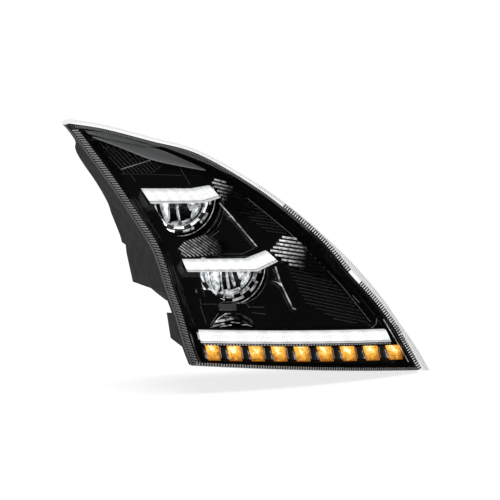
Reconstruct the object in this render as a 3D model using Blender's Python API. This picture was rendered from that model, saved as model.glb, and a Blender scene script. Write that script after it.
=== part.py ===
"""Heavy-vehicle headlamp assembly with two LED projectors, light bars and a turn signal.

Frame: +X outboard, +Y rearward, +Z up, in metres. The lamp shines along -Y. The origin is
the centre of the flat rear mounting pad. Dimensions in this file are in millimetres and are
turned into metres once, where a mesh is made.
"""
import math

import bmesh
import bpy

MM = 0.001
GAP = 0.3                      # clearance between touching pieces

# Outline of the lamp body in the XZ plane: stations from the bottom edge up to the tip,
# one point on the inboard edge and one on the sweeping outboard edge for each.
INBOARD_EDGE = (
    (-200, -93), (-208, -68), (-218, -22), (-226, 8), (-235, 50), (-244, 78), (-265, 117),
    (-285, 154), (-300, 180), (-315, 205), (-328, 227), (-338, 243), (-343, 250))
OUTBOARD_EDGE = (
    (203, -130), (190, -108), (172, -80), (163, -64), (128, -20), (86, 24), (49, 68),
    (5, 108), (-59, 157), (-145, 207), (-217, 227), (-285, 245), (-334, 253))
# The clear lens stands out past the body, most of all along the outboard edge.
LENS_INBOARD_EDGE = INBOARD_EDGE[:-2] + ((-340, 244), (-348, 255))
LENS_OUTBOARD_EDGE = (
    (220, -131.5), (204, -104), (185, -76), (174, -61), (140, -14), (96, 35), (55, 74),
    (10, 113), (-56, 161), (-143, 211), (-216, 232.5), (-284, 251), (-337, 260))
TIP = len(INBOARD_EDGE) - 1
BOTTOM_PITCH = 27.0            # station spacing at the bottom edge
TIP_PITCH = 13.0               # station spacing at the tip

# Raked, wrapped front surface: y = f(x, z), lowest and furthest forward at one corner.
CORNER_X, CORNER_Y, CORNER_Z = -182.0, -283.0, -116.0
RAKE, RAKE_CURVE = 0.28, 0.00052
WRAP, WRAP_CURVE = 0.06, 0.00071

LENS_THICKNESS = 3.0
LIP_DEPTH = 7.0
WALL = 3.2
SEAL_FRONT = 4.6               # seal behind the lens surface
RIM_OFFSET = 8.6               # front of the housing wall, behind the lens surface
BORDER = 12.0                  # width of the seal on the inboard and bottom edges
SLIM_SHARE = 0.5               # the seal is this much slimmer on the other edges
BEZEL_SHARE = 0.4
PLATE_Y = -30.0                # flat back plate of the housing
BEZEL_OFFSET = 27.0
BEZEL_THICKNESS = 2.6

# Projector modules: centre of each ring's front face.
UPPER_PROJECTOR = (-170.0, -108.0, 139.0)
LOWER_PROJECTOR = (-106.0, -155.0, 37.0)
LENS_RADIUS = 40.0
LENS_RISE = 15.0
RING_INNER, RING_OUTER = 41.5, 52.5
SHROUD_RADIUS = 57.0

# Vertical aim: the carrier frame tilts about X, moved by a ball stud below the axis.
TILT_Y, TILT_Z = -86.0, 92.0
PIN_RADIUS = 4.0
STUD_X, STUD_Z = -50.0, 2.0
FRAME_FRONT, FRAME_BACK = -88.0, -84.0

# Rear of the housing.
UPPER_CAP = (-168.0, 128.0)
LOWER_CAP = (-106.0, 37.0)
CAP_HOLE_RADIUS = 31.0
PAD_SIZE = (50.0, 32.0)

ROUND = 32                     # facets round a full circle


def clear_scene():
    for obj in list(bpy.data.objects):
        bpy.data.objects.remove(obj, do_unlink=True)


def make_material(name, color, roughness, metallic=0.0, transmission=0.0):
    material = bpy.data.materials.new(name)
    material.use_nodes = True
    shader = material.node_tree.nodes["Principled BSDF"]
    shader.inputs["Base Color"].default_value = (*color, 1.0)
    shader.inputs["Roughness"].default_value = roughness
    shader.inputs["Metallic"].default_value = metallic
    shader.inputs["Transmission Weight"].default_value = transmission
    return material


clear_scene()
SATIN_BLACK = make_material("satin_black_plastic", (0.045, 0.045, 0.05), 0.45)
GLOSS_BLACK = make_material("gloss_black_plastic", (0.01, 0.01, 0.012), 0.12)
GREY = make_material("grey_plastic", (0.12, 0.12, 0.125), 0.35)
CLEAR = make_material("clear_polycarbonate", (0.95, 0.97, 1.0), 0.03, transmission=1.0)
GLASS = make_material("projector_glass", (0.93, 0.96, 1.0), 0.02, transmission=1.0)
CHROME = make_material("chrome", (0.85, 0.86, 0.88), 0.08, metallic=1.0)
WHITE = make_material("white_diffuser", (0.9, 0.92, 0.95), 0.3)
AMBER = make_material("amber_diffuser", (0.9, 0.5, 0.08), 0.25)
ALUMINIUM = make_material("aluminium", (0.6, 0.61, 0.62), 0.4, metallic=1.0)
STEEL = make_material("zinc_steel", (0.55, 0.55, 0.53), 0.35, metallic=1.0)
RUBBER = make_material("black_rubber", (0.02, 0.02, 0.02), 0.8)
BOARD = make_material("circuit_board", (0.85, 0.86, 0.84), 0.5)


# ---------------------------------------------------------------- geometry helpers

def lerp(a, b, f):
    return a + (b - a) * f


def smooth(f):
    f = min(max(f, 0.0), 1.0)
    return f * f * (3.0 - 2.0 * f)


def lens_y(x, z):
    height = z - CORNER_Z
    reach = x - CORNER_X
    rake = RAKE * height + RAKE_CURVE * height * abs(height)
    return CORNER_Y + rake + WRAP * reach + WRAP_CURVE * reach * reach


def spline(points, t):
    """Point at station t of the Catmull-Rom curve through the points."""
    last = len(points) - 1
    start = min(int(t), last - 1)
    f = t - start
    four = [points[min(max(k, 0), last)] for k in range(start - 1, start + 3)]
    return tuple(
        0.5 * (2 * b + (c - a) * f + (2 * a - 5 * b + 4 * c - d) * f * f
               + (3 * b - a - 3 * c + d) * f ** 3)
        for a, b, c, d in zip(*four))


def row_step(edge, t, across, inset):
    """Distance along a row that takes a point the inset away from an outline edge."""
    x0, z0 = spline(edge, max(t - 0.02, 0.0))
    x1, z1 = spline(edge, min(t + 0.02, TIP))
    length = math.hypot(x1 - x0, z1 - z0)
    return inset * length / abs(across[0] * (z1 - z0) - across[1] * (x1 - x0))


def body_point(u, t, inset, share=1.0, edges=(INBOARD_EDGE, OUTBOARD_EDGE)):
    """Point (x, z) at fraction u across row t of the outline, inset from every edge.

    The outboard and bottom edges take only a share of the inset."""
    t = min(max(t, share * inset / BOTTOM_PITCH), TIP - inset / TIP_PITCH)
    (x0, z0), (x1, z1) = spline(edges[0], t), spline(edges[1], t)
    width = math.hypot(x1 - x0, z1 - z0)
    across = ((x1 - x0) / width, (z1 - z0) / width)
    start = row_step(edges[0], t, across, inset)
    end = width - row_step(edges[1], t, across, share * inset)
    along = lerp(start, end, u)
    return x0 + across[0] * along, z0 + across[1] * along


def row_width(t):
    (x0, z0), (x1, z1) = spline(INBOARD_EDGE, t), spline(OUTBOARD_EDGE, t)
    return math.hypot(x1 - x0, z1 - z0)


def on_lens(point, offset):
    return point[0], lens_y(point[0], point[1]) + offset, point[1]


def add_object(name, verts, faces, material, smooth_angle=30.0):
    mesh = bpy.data.meshes.new(name)
    mesh.from_pydata([tuple(c * MM for c in v) for v in verts], [], faces)
    build = bmesh.new()
    build.from_mesh(mesh)
    bmesh.ops.recalc_face_normals(build, faces=build.faces)
    build.to_mesh(mesh)
    build.free()
    mesh.shade_smooth()
    mesh.set_sharp_from_angle(angle=math.radians(smooth_angle))
    mesh.materials.append(material)
    obj = bpy.data.objects.new(name, mesh)
    bpy.context.scene.collection.objects.link(obj)
    return obj


def rim_of(rows):
    """Indices (row, column) round the border of a grid."""
    high, wide = len(rows), len(rows[0])
    return ([(0, i) for i in range(wide)] + [(j, wide - 1) for j in range(1, high)]
            + [(high - 1, i) for i in range(wide - 2, -1, -1)]
            + [(j, 0) for j in range(high - 2, 0, -1)])


def grid_solid(name, front, back, material, loops=(), smooth_angle=30.0):
    """Closed solid between two grids of points; extra loops shape the wall between them."""
    wide = len(front[0])
    count = len(front) * wide
    verts = [p for row in front for p in row] + [p for row in back for p in row]
    faces = []
    for base in (0, count):
        for j in range(len(front) - 1):
            for i in range(wide - 1):
                a = base + j * wide + i
                faces.append((a, a + 1, a + wide + 1, a + wide))
    rim = rim_of(front)
    rings = [[j * wide + i for j, i in rim]]
    for loop in loops:
        rings.append(list(range(len(verts), len(verts) + len(rim))))
        verts.extend(loop)
    rings.append([count + j * wide + i for j, i in rim])
    for near, far in zip(rings, rings[1:]):
        for k in range(len(rim)):
            n = (k + 1) % len(rim)
            faces.append((near[k], near[n], far[n], far[k]))
    return add_object(name, verts, faces, material, smooth_angle)


def ring_solid(name, loops, material):
    """Closed ring whose section is the polygon through the loops, in order."""
    count = len(loops[0])
    verts = [p for loop in loops for p in loop]
    faces = []
    for k in range(len(loops)):
        near, far = k * count, (k + 1) % len(loops) * count
        for i in range(count):
            n = (i + 1) % count
            faces.append((near + i, near + n, far + n, far + i))
    return add_object(name, verts, faces, material)


def polyline(points, per_side):
    """The points with each straight stretch divided evenly."""
    result = [points[0]]
    for a, b in zip(points, points[1:]):
        for k in range(1, per_side + 1):
            result.append(tuple(lerp(p, q, k / per_side) for p, q in zip(a, b)))
    return result


def curve(points, count):
    last = len(points) - 1
    return [spline(points, last * k / (count - 1)) for k in range(count)]


def ribbon(name, bottom, top, offset, thickness, material, rows=1, relief=None):
    """Strip between two rails of (x, z) points, a set distance behind the lens surface."""
    def grid(extra):
        result = []
        for j in range(rows + 1):
            row = []
            for i, (low, high) in enumerate(zip(bottom, top)):
                point = tuple(lerp(a, b, j / rows) for a, b in zip(low, high))
                raised = relief(i, j) if relief and extra == 0.0 else 0.0
                row.append(on_lens(point, offset + extra - raised))
            result.append(row)
        return result
    return grid_solid(name, grid(0.0), grid(thickness), material)


def turned(name, centre, profile, material, axis="Y", facets=ROUND, smooth_angle=30.0):
    """Turned solid. The profile is (radius, distance along the axis); it closes on itself,
    or starts and ends on the axis."""
    solid = profile[0][0] == 0.0
    verts, rings = [], []
    for radius, along in profile:
        if radius == 0.0:
            rings.append([len(verts)])
            verts.append((0.0, along, 0.0))
            continue
        rings.append(list(range(len(verts), len(verts) + facets)))
        for k in range(facets):
            angle = 2.0 * math.pi * k / facets
            verts.append((radius * math.cos(angle), along, radius * math.sin(angle)))
    if axis == "X":
        verts = [(y, -x, z) for x, y, z in verts]
    verts = [tuple(c + v for c, v in zip(centre, vert)) for vert in verts]
    faces = []
    pairs = list(zip(rings, rings[1:])) + ([] if solid else [(rings[-1], rings[0])])
    for near, far in pairs:
        for k in range(facets):
            n = (k + 1) % facets
            if len(near) == 1:
                faces.append((near[0], far[n], far[k]))
            elif len(far) == 1:
                faces.append((near[k], near[n], far[0]))
            else:
                faces.append((near[k], near[n], far[n], far[k]))
    return add_object(name, verts, faces, material, smooth_angle)


def prism(name, outline, y_front, y_back, material):
    """Solid with an (x, z) outline, flat at both ends."""
    count = len(outline)
    verts = [(x, y, z) for y in (y_front, y_back) for x, z in outline]
    faces = [tuple(range(count)), tuple(range(2 * count - 1, count - 1, -1))]
    for k in range(count):
        n = (k + 1) % count
        faces.append((k, n, count + n, count + k))
    return add_object(name, verts, faces, material)


def box(name, low, high, material):
    outline = [(low[0], low[2]), (high[0], low[2]), (high[0], high[2]), (low[0], high[2])]
    return prism(name, outline, low[1], high[1], material)


def arc(centre, radius, start, end, count):
    """Points on an arc, angles in degrees from +X towards +Z."""
    points = []
    for k in range(count + 1):
        angle = math.radians(lerp(start, end, k / count))
        points.append((centre[0] + radius * math.cos(angle), centre[1] + radius * math.sin(angle)))
    return points


def boolean(obj, tool, operation):
    """Leave a Boolean on the object; the tool stays in the scene as a hidden guide."""
    tool.hide_render = True
    tool.display_type = "WIRE"
    modifier = obj.modifiers.new(tool.name, "BOOLEAN")
    modifier.operation = operation
    modifier.object = tool


def round_hole(obj, x, z, radius, y_front, y_back, facets=ROUND):
    outline = arc((x, z), radius, 0.0, 360.0, facets)[:-1]
    boolean(obj, prism(obj.name + "_hole", outline, y_front, y_back, GREY), "DIFFERENCE")


# ---------------------------------------------------------------- lens and its seal

LENS_COLUMNS = [0.0, 0.02, 0.08, 0.2, 0.35, 0.5, 0.65, 0.8, 0.92, 0.98, 1.0]
LENS_ROWS = [0.0, 0.4, 1, 2, 3, 4, 5, 6, 7, 8, 8.5, 9, 9.5, 10, 10.5, 11, 11.6, 12]


def lens_grid(offset, inset):
    edges = (LENS_INBOARD_EDGE, LENS_OUTBOARD_EDGE)
    return [[on_lens(body_point(u, t, inset, SLIM_SHARE, edges), offset) for u in LENS_COLUMNS]
            for t in LENS_ROWS]


def make_outer_lens():
    front = lens_grid(0.0, 0.0)
    back = lens_grid(LENS_THICKNESS, LENS_THICKNESS)
    rim = rim_of(front)
    lip = lens_grid(LIP_DEPTH, 0.0)
    lip_inside = lens_grid(LIP_DEPTH, LENS_THICKNESS)
    loops = ([lip[j][i] for j, i in rim], [lip_inside[j][i] for j, i in rim])
    grid_solid("outer_lens", front, back, CLEAR, loops)


def seal_loop(inset, offset):
    grid = [[on_lens(body_point(u, t, inset, SLIM_SHARE), offset) for u in LENS_COLUMNS]
            for t in LENS_ROWS]
    return [grid[j][i] for j, i in rim_of(grid)]


def make_lens_seal():
    outer = LENS_THICKNESS + 1.3
    near, far = SEAL_FRONT, RIM_OFFSET - 1.3
    ring_solid("lens_seal", [seal_loop(outer, near), seal_loop(BORDER, near),
                             seal_loop(BORDER, far), seal_loop(outer, far)], RUBBER)


# ---------------------------------------------------------------- housing

# Rows of the housing's back: station of the outer skin, station of the inner skin, and the
# place of the skin at the inboard edge, across the middle and at the outboard edge.
# "deep" rows give Y, "shallow" rows give the distance behind the lens surface. The
# shallow rows form the lower block and the open slot between it and the deep tub.
HOUSING_ROWS = (
    (0.0, 0.0, "shallow", 18, 42, 36), (1.0, 1.08, "shallow", 17, 52, 40),
    (1.18, 1.3, "shallow", 70, 56, 42), (2.0, 1.9, "shallow", 48, 56, 44),
    (2.06, 1.96, "shallow", 18, 56.5, 44), (3.0, 3.1, "shallow", 18, 57, 46),
    (3.06, 3.16, "deep", -46, PLATE_Y, -58), (4.0, 4.0, "deep", -44, PLATE_Y, -56),
    (4.65, 4.65, "deep", -54, PLATE_Y, -55), (4.75, 4.75, "deep", -35, PLATE_Y, -55),
    (5.4, 5.4, "deep", -49, PLATE_Y, -55), (6.0, 6.0, "deep", -65, PLATE_Y, -56),
    (6.5, 6.5, "deep", -79, PLATE_Y, -58), (7.5, 7.5, "deep", -74, PLATE_Y, -62),
    (8.3, 8.3, "deep", -63, -33, -68), (9.0, 9.0, "deep", -60, -44, -76),
    (9.5, 9.5, "deep", -71, -57, -82), (10.0, 10.0, "deep", -98, -72, -88),
    (11.0, 11.0, "deep", -93, -88, -92), (12.0, 12.0, "shallow", 18, 18, 18))
FLOOR_ROWS = (5, 6)            # rows of the deep tub's floor, which drops away from the slot
FLOOR_DROP = 0.88
HOUSING_COLUMNS = (0.0, 0.035, 0.06, 0.13, 0.4, 0.6, 0.85, 0.96, 1.0)
INNER_COLUMNS = (0.0, 0.045, 0.075, 0.15, 0.4, 0.6, 0.84, 0.95, 1.0)
DEEP_BLEND = (0.0, 0.35, 0.6, 1.0, 1.0, 1.0, 1.0, 0.45, 0.0)
SHALLOW_BLEND = (0.0, 0.18, 1.0, 1.0, 1.0, 1.0, 1.0, 0.4, 0.0)


def housing_station(row, u, inner):
    station = HOUSING_ROWS[row][1 if inner else 0]
    if row in FLOOR_ROWS:
        station -= FLOOR_DROP * smooth((u - 0.05) / 0.1)
    return station


def housing_back(inner):
    grid = []
    inset = WALL + 0.4 if inner else 0.4
    columns = INNER_COLUMNS if inner else HOUSING_COLUMNS
    for number, (_, _, kind, inboard, middle, outboard) in enumerate(HOUSING_ROWS):
        blend = DEEP_BLEND if kind == "deep" else SHALLOW_BLEND
        row = []
        for i, u in enumerate(columns):
            x, z = body_point(u, housing_station(number, u, inner), inset)
            edge = inboard if u < 0.5 else outboard
            place = lerp(edge, middle, blend[i])
            y = place if kind == "deep" else lens_y(x, z) + place
            row.append((x, y - (WALL if inner else 0.0), z))
        grid.append(row)
    return grid


def housing_rim(inset, inner):
    columns = INNER_COLUMNS if inner else HOUSING_COLUMNS
    grid = [[on_lens(body_point(u, housing_station(row, u, inner), inset), RIM_OFFSET)
             for u in columns] for row in range(len(HOUSING_ROWS))]
    return [grid[j][i] for j, i in rim_of(grid)]


def make_housing():
    loops = (housing_rim(0.4, False), housing_rim(WALL + 0.4, True))
    housing = grid_solid("housing", housing_back(False), housing_back(True), SATIN_BLACK,
                         loops, smooth_angle=35.0)
    for x, z in (UPPER_CAP, LOWER_CAP):
        round_hole(housing, x, z, CAP_HOLE_RADIUS, PLATE_Y - 10, PLATE_Y + 10)
    round_hole(housing, STUD_X, STUD_Z, 7.0, PLATE_Y - 10, PLATE_Y + 10, 16)


# ---------------------------------------------------------------- bezel and trims

def bezel_offset(u, t):
    """Depth of the bezel's face: it dips steeply just inside the lens seal."""
    width = row_width(t)
    dips = (u * width / 18.0, (1.0 - u) * width / 12.0,
            (t - 0.19) * BOTTOM_PITCH / 7.0, (TIP - 1.0 - t) * TIP_PITCH / 14.0)
    return lerp(RIM_OFFSET - 0.7, BEZEL_OFFSET, smooth(min(dips)))


def make_inner_bezel():
    stations = [0.19, 0.27, 0.43, 1.2, 2.2, 3, 4, 5, 6, 7, 8, 9, 9.6, 10, 10.4, 10.8, 11]
    rows = []
    for t in stations:
        width = row_width(t)
        steps = [0.0, min(6 / width, 0.1), min(12 / width, 0.2), min(18 / width, 0.3)]
        steps += [0.4, 0.5, 0.6, 0.7, 1 - min(13 / width, 0.2), 1 - min(6 / width, 0.1), 1.0]
        rows.append([(body_point(u, t, BORDER + 0.7, BEZEL_SHARE), bezel_offset(u, t))
                     for u in steps])
    front = [[on_lens(point, offset) for point, offset in row] for row in rows]
    back = [[on_lens(point, offset + BEZEL_THICKNESS) for point, offset in row] for row in rows]
    bezel = grid_solid("inner_bezel", front, back, GLOSS_BLACK)
    upper = [(-222, 131), (-207, 97)] + arc((-168, 139), 57, 232, 358, 14) + [(-114, 158), (-214, 158)]
    lower = [(-168, 37), (-163, 10)] + arc((-108, 43), 55, 218, 350, 12) + [(-60, 56), (-166, 56)]
    bowl = arc((-121, -62), 39, 180, 0, 12)
    window = [(-185, -41.5), (-180, -90), (183, -119.5), (170.6, -89), (151, -60.5)]
    for name, outline in (("upper", upper), ("lower", lower), ("bowl", bowl),
                          ("window", window)):
        cutter = prism("bezel_opening_" + name, outline, -300, -60, GREY)
        boolean(bezel, cutter, "DIFFERENCE")


def make_tunnels():
    """Conical walls that lead from the bezel's openings back towards the projectors."""
    for name, centre, depth in (("upper_tunnel", UPPER_PROJECTOR, 22.0),
                                ("lower_tunnel", LOWER_PROJECTOR, 14.0)):
        profile = ((63.0, -depth), (65.0, -depth), (63.0, 8.0), (61.0, 8.0))
        tunnel = turned(name, centre, profile, GLOSS_BLACK)
        keep = arc((centre[0], centre[2]), 90, 215, 360, 8) + [(centre[0], centre[2])]
        cutter = prism(name + "_sector", keep, centre[1] - 60, centre[1] + 60, GREY)
        boolean(tunnel, cutter, "INTERSECT")


def make_trims():
    ribbon("upper_blade_trim",
           curve([(-302, 232.4), (-262, 216), (-220, 199), (-179, 190.5), (-137, 182)], 13),
           curve([(-300, 233.6), (-268, 228), (-215, 216), (-172, 201), (-136, 184)], 13),
           16.0, 3.0, GREY, rows=2)
    ribbon("upper_rib_panel", polyline([(-262, 177), (-197, 176)], 6),
           polyline([(-283, 209), (-221, 187)], 6), 23.0, 3.5, GLOSS_BLACK, rows=2)
    ribbon("accent_strip_upper", polyline([(-120, 133.5), (-69, 68)], 6),
           polyline([(-117.5, 135), (-66.5, 69.5)], 6), 22.0, 4.0, CHROME)
    ribbon("accent_strip_lower", polyline([(-42, 36), (-21.5, -24)], 6),
           polyline([(-39.5, 37), (-19, -23)], 6), 22.0, 4.0, CHROME)
    ribbon("center_flute_shell", polyline([(-196, 68), (-163, 59), (-112, 63)], 3),
           polyline([(-192, 76), (-150, 89), (-114, 80)], 3), 20.0, 4.0, CHROME, rows=3)
    ribbon("side_flute_upper", polyline([(-108, 141), (-66, 84), (-40, 92)], 4),
           polyline([(-124, 171), (-92, 155), (-44, 116)], 4), 20.0, 4.0, CHROME, rows=3)
    ribbon("side_flute_lower", polyline([(-49, 62), (-14, 38), (14, -34)], 4),
           polyline([(-22, 86), (46, 36), (120, -52)], 4), 20.0, 4.0, CHROME, rows=5)
    ribbon("bowl_bracket", polyline([(-136, -22), (-112, -22)], 2),
           polyline([(-138, -10), (-110, -11)], 2), 20.0, 6.0, GREY)
    bowl = ((38.0, 0.0), (36.0, 0.0), (30.0, 7.0), (16.0, 12.0), (12.0, 12.5), (12.0, 14.0),
            (18.0, 13.8), (32.0, 9.0))
    half = turned("auxiliary_bowl", (-121.0, -221.5, -62.0), bowl, CHROME)
    boolean(half, box("bowl_keep", (-170, -240, -57), (-70, -190, 0), GREY), "INTERSECT")


# ---------------------------------------------------------------- light bars and turn signal

BARS = {
    "upper": (((-228, 135), (-147, 135), (-119, 142)), ((-240, 157), (-163, 156), (-134, 160))),
    "lower": (((-186, 37), (-76, 34), (-39, 47)), ((-192, 55), (-91, 53), (-56, 63))),
    "main": (((-180, -63), (154, -83)), ((-182, -45), (145, -64))),
}


def shrink(bottom, top, margin):
    """Rails moved together by a margin at each side."""
    low, high = [], []
    for a, b in zip(bottom, top):
        f = margin / math.dist(a, b)
        low.append(tuple(lerp(p, q, f) for p, q in zip(a, b)))
        high.append(tuple(lerp(q, p, f) for p, q in zip(a, b)))
    return low, high


def make_light_bars():
    for name, (bottom, top) in BARS.items():
        per_side = 10 if name == "main" else 5
        low, high = polyline(list(bottom), per_side), polyline(list(top), per_side)
        ribbon("drl_bar_" + name, low, high, 14.0, 8.0, WHITE, rows=2,
               relief=lambda i, j: 1.5 if j == 1 else 0.0)
        low, high = shrink(low, high, 4.0)
        ribbon("drl_board_" + name, low, high, 14.0 + 8.0 + GAP, 1.6, BOARD)


CELLS = 9
STRIP_BOTTOM = ((-175, -88.5), (176, -112.5))
STRIP_TOP = ((-178, -66.5), (169.4, -89.3))
CELL_SHARE = 0.62


def cell_station(cell):
    """Place of a cell along the strip; the cells grow a little toward the outboard end."""
    return 0.017 + 0.0925 * cell + 0.0025 * cell * cell


def make_turn_signal():
    """Amber strip of nine raised blocks, in a black tray in front of its circuit board."""
    steps = [(0.0, 0.0)]
    for cell in range(CELLS):
        start, end = cell_station(cell), cell_station(cell + CELL_SHARE) - 0.003
        steps += [(start, 0.0), (start + 0.003, 3.0), (end - 0.003, 3.0), (end, 0.0)]
    low = [tuple(lerp(a, b, s) for a, b in zip(*STRIP_BOTTOM)) for s, _ in steps]
    high = [tuple(lerp(a, b, s) for a, b in zip(*STRIP_TOP)) for s, _ in steps]
    ribbon("turn_lens_strip", low, high, 17.0, 2.0, AMBER,
           relief=lambda i, j: steps[i][1])
    low, high = polyline(list(STRIP_BOTTOM), 10), polyline(list(STRIP_TOP), 10)
    low, high = shrink(low, high, 3.0)
    ribbon("turn_board", low, high, 19.0 + GAP, 1.6, BOARD)
    ribbon("turn_tray", polyline([(-174, -89.2), (181.8, -118.7)], 10),
           polyline([(-181, -42.3), (150.3, -61.3)], 10), 24.5, 3.0, GLOSS_BLACK, rows=2)


# ---------------------------------------------------------------- projectors and carrier

def make_projector(prefix, centre):
    """Lens, castellated ring, shroud, reflector bowl, LED board and heat sink."""
    dome = [(0.0, -LENS_RISE)]
    for k in range(1, 7):
        angle = math.radians(15 * k)
        dome.append((LENS_RADIUS * math.sin(angle), -LENS_RISE * math.cos(angle)))
    dome += [(LENS_RADIUS, 3.0), (0.0, 3.0)]
    turned(prefix + "_projector_lens", centre, dome, GLASS)
    ring = ((RING_INNER, 0.0), (RING_OUTER, 0.0), (RING_OUTER, 4.0), (RING_INNER, 4.0))
    turned(prefix + "_projector_ring", centre, ring, CHROME, facets=40)
    shroud = ((SHROUD_RADIUS, -1.0), (55.5, -1.0), (54.5, 5.0), (42.5, 12.0), (42.5, 16.0),
              (46.0, 16.0), (SHROUD_RADIUS, 7.0))
    turned(prefix + "_projector_shroud", centre, shroud, GLOSS_BLACK, facets=40)
    bowl = ((41.0, 4.5), (39.0, 4.5), (33.0, 15.0), (20.0, 23.0), (20.0, 25.0), (34.0, 17.5))
    turned(prefix + "_projector_reflector", centre, bowl, CHROME)
    x, y, z = centre
    turned(prefix + "_led_board", centre, ((0.0, 25.5), (25.0, 25.5), (25.0, 27.1), (0.0, 27.1)),
           BOARD, facets=24)
    make_heat_sink(prefix + "_heat_sink", x, y + 27.4, z)


def make_heat_sink(name, x, y, z):
    """Square finned block; the fins stand up along Z and point rearwards."""
    half, base, fin_length, fins = 29.0, 5.0, 32.0, 7
    pitch = 2.0 * half / (fins - 0.5)
    profile = [(-half, 0.0), (half, 0.0)]
    for k in range(fins):
        right = half - k * pitch
        left = right - pitch / 2.0
        profile += [(right, base + fin_length), (left, base + fin_length)]
        if k < fins - 1:
            profile += [(left, base), (left - pitch / 2.0, base)]
    count = len(profile)
    verts = [(x + a, y + b, z + side * half) for side in (-1, 1) for a, b in profile]
    faces = [tuple(range(count)), tuple(range(2 * count - 1, count - 1, -1))]
    for k in range(count):
        n = (k + 1) % count
        faces.append((k, n, count + n, count + k))
    add_object(name, verts, faces, ALUMINIUM)


def make_carrier():
    """Frame plate that holds both projectors, with pivot pins and the adjuster's arm."""
    (ux, _, uz), (lx, _, lz) = UPPER_PROJECTOR, LOWER_PROJECTOR
    outline = (arc((ux, uz), 45, -10, 215, 12) + [(-229, 84), (-190, 76)]
               + arc((lx, lz), 54, 190, 300, 8) + [(-58, -6), (-42, -6), (-42, 12), (-52, 30)]
               + [(-52, 84), (-52, 100), (-100, 112)])
    frame = prism("carrier_frame", outline, FRAME_FRONT, FRAME_BACK, SATIN_BLACK)
    round_hole(frame, ux, uz, 42.0, FRAME_FRONT - 5, FRAME_BACK + 5)
    round_hole(frame, lx, lz, 45.0, FRAME_FRONT - 5, FRAME_BACK + 5)
    for start, length in ((-243.5, 30.0), (-62.0, 26.0)):
        pin = turned("pin_at_%d" % start, (start, TILT_Y, TILT_Z),
                     ((0.0, 0.0), (PIN_RADIUS, 0.0), (PIN_RADIUS, length), (0.0, length)),
                     STEEL, axis="X", facets=16)
        boolean(frame, pin, "UNION")
    barrel_front = LOWER_PROJECTOR[1] + 16.0 + GAP
    turned("lower_module_barrel", (lx, 0.0, lz),
           ((43.5, barrel_front), (47.0, barrel_front), (51.0, FRAME_FRONT - GAP),
            (47.5, FRAME_FRONT - GAP)), SATIN_BLACK)
    turned("aim_ball_socket", (STUD_X, 0.0, STUD_Z),
           ((6.2, FRAME_BACK + GAP), (9.5, FRAME_BACK + GAP), (8.5, -72.0), (6.2, -72.0)),
           GREY, facets=20)


def make_pivots():
    block = box("pivot_block_inboard", (-240.2, -97, 81), (-231, -75, 103), SATIN_BLACK)
    post = box("pivot_post_outboard", (-48, -96, 82), (-37, PLATE_Y - WALL - GAP, 102), SATIN_BLACK)
    for obj, start in ((block, -246.0), (post, -60.0)):
        bore = turned(obj.name + "_bore", (start, TILT_Y, TILT_Z),
                      ((0.0, 0.0), (PIN_RADIUS + 0.4, 0.0), (PIN_RADIUS + 0.4, 40.0), (0.0, 40.0)),
                      GREY, axis="X", facets=16)
        boolean(obj, bore, "DIFFERENCE")


def make_adjuster():
    """Ball stud that slides, screw knob that turns, and the body that holds them."""
    ball_y, ball = -78.0, 5.0
    profile = [(0.0, ball_y - ball)]
    for angle in (30, 60, 90, 120):
        profile.append((ball * math.sin(math.radians(angle)),
                        ball_y - ball * math.cos(math.radians(angle))))
    profile += [(2.8, ball_y + 4.6), (2.8, -27.0), (0.0, -27.0)]
    turned("aim_ball_stud", (STUD_X, 0.0, STUD_Z), profile, STEEL, facets=20)
    back = PLATE_Y + GAP
    body = box("aim_adjuster_body", (STUD_X - 11, back, STUD_Z - 11),
               (STUD_X + 11, -14.0, STUD_Z + 11), SATIN_BLACK)
    round_hole(body, STUD_X, STUD_Z, 4.0, back - 5, 0.0, 16)
    screw = [(0.0, -20.0), (3.2, -20.0), (3.2, -13.5), (9.0, -13.5), (9.0, -5.5), (7.5, -4.0),
             (0.0, -4.0)]
    knob = turned("aim_screw_knob", (STUD_X, 0.0, STUD_Z), screw, STEEL, facets=24)
    slot = box("screwdriver_slot", (STUD_X - 5, -6.5, STUD_Z - 0.8),
               (STUD_X + 5, 0.0, STUD_Z + 0.8), STEEL)
    boolean(knob, slot, "DIFFERENCE")


# ---------------------------------------------------------------- rear fittings

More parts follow.
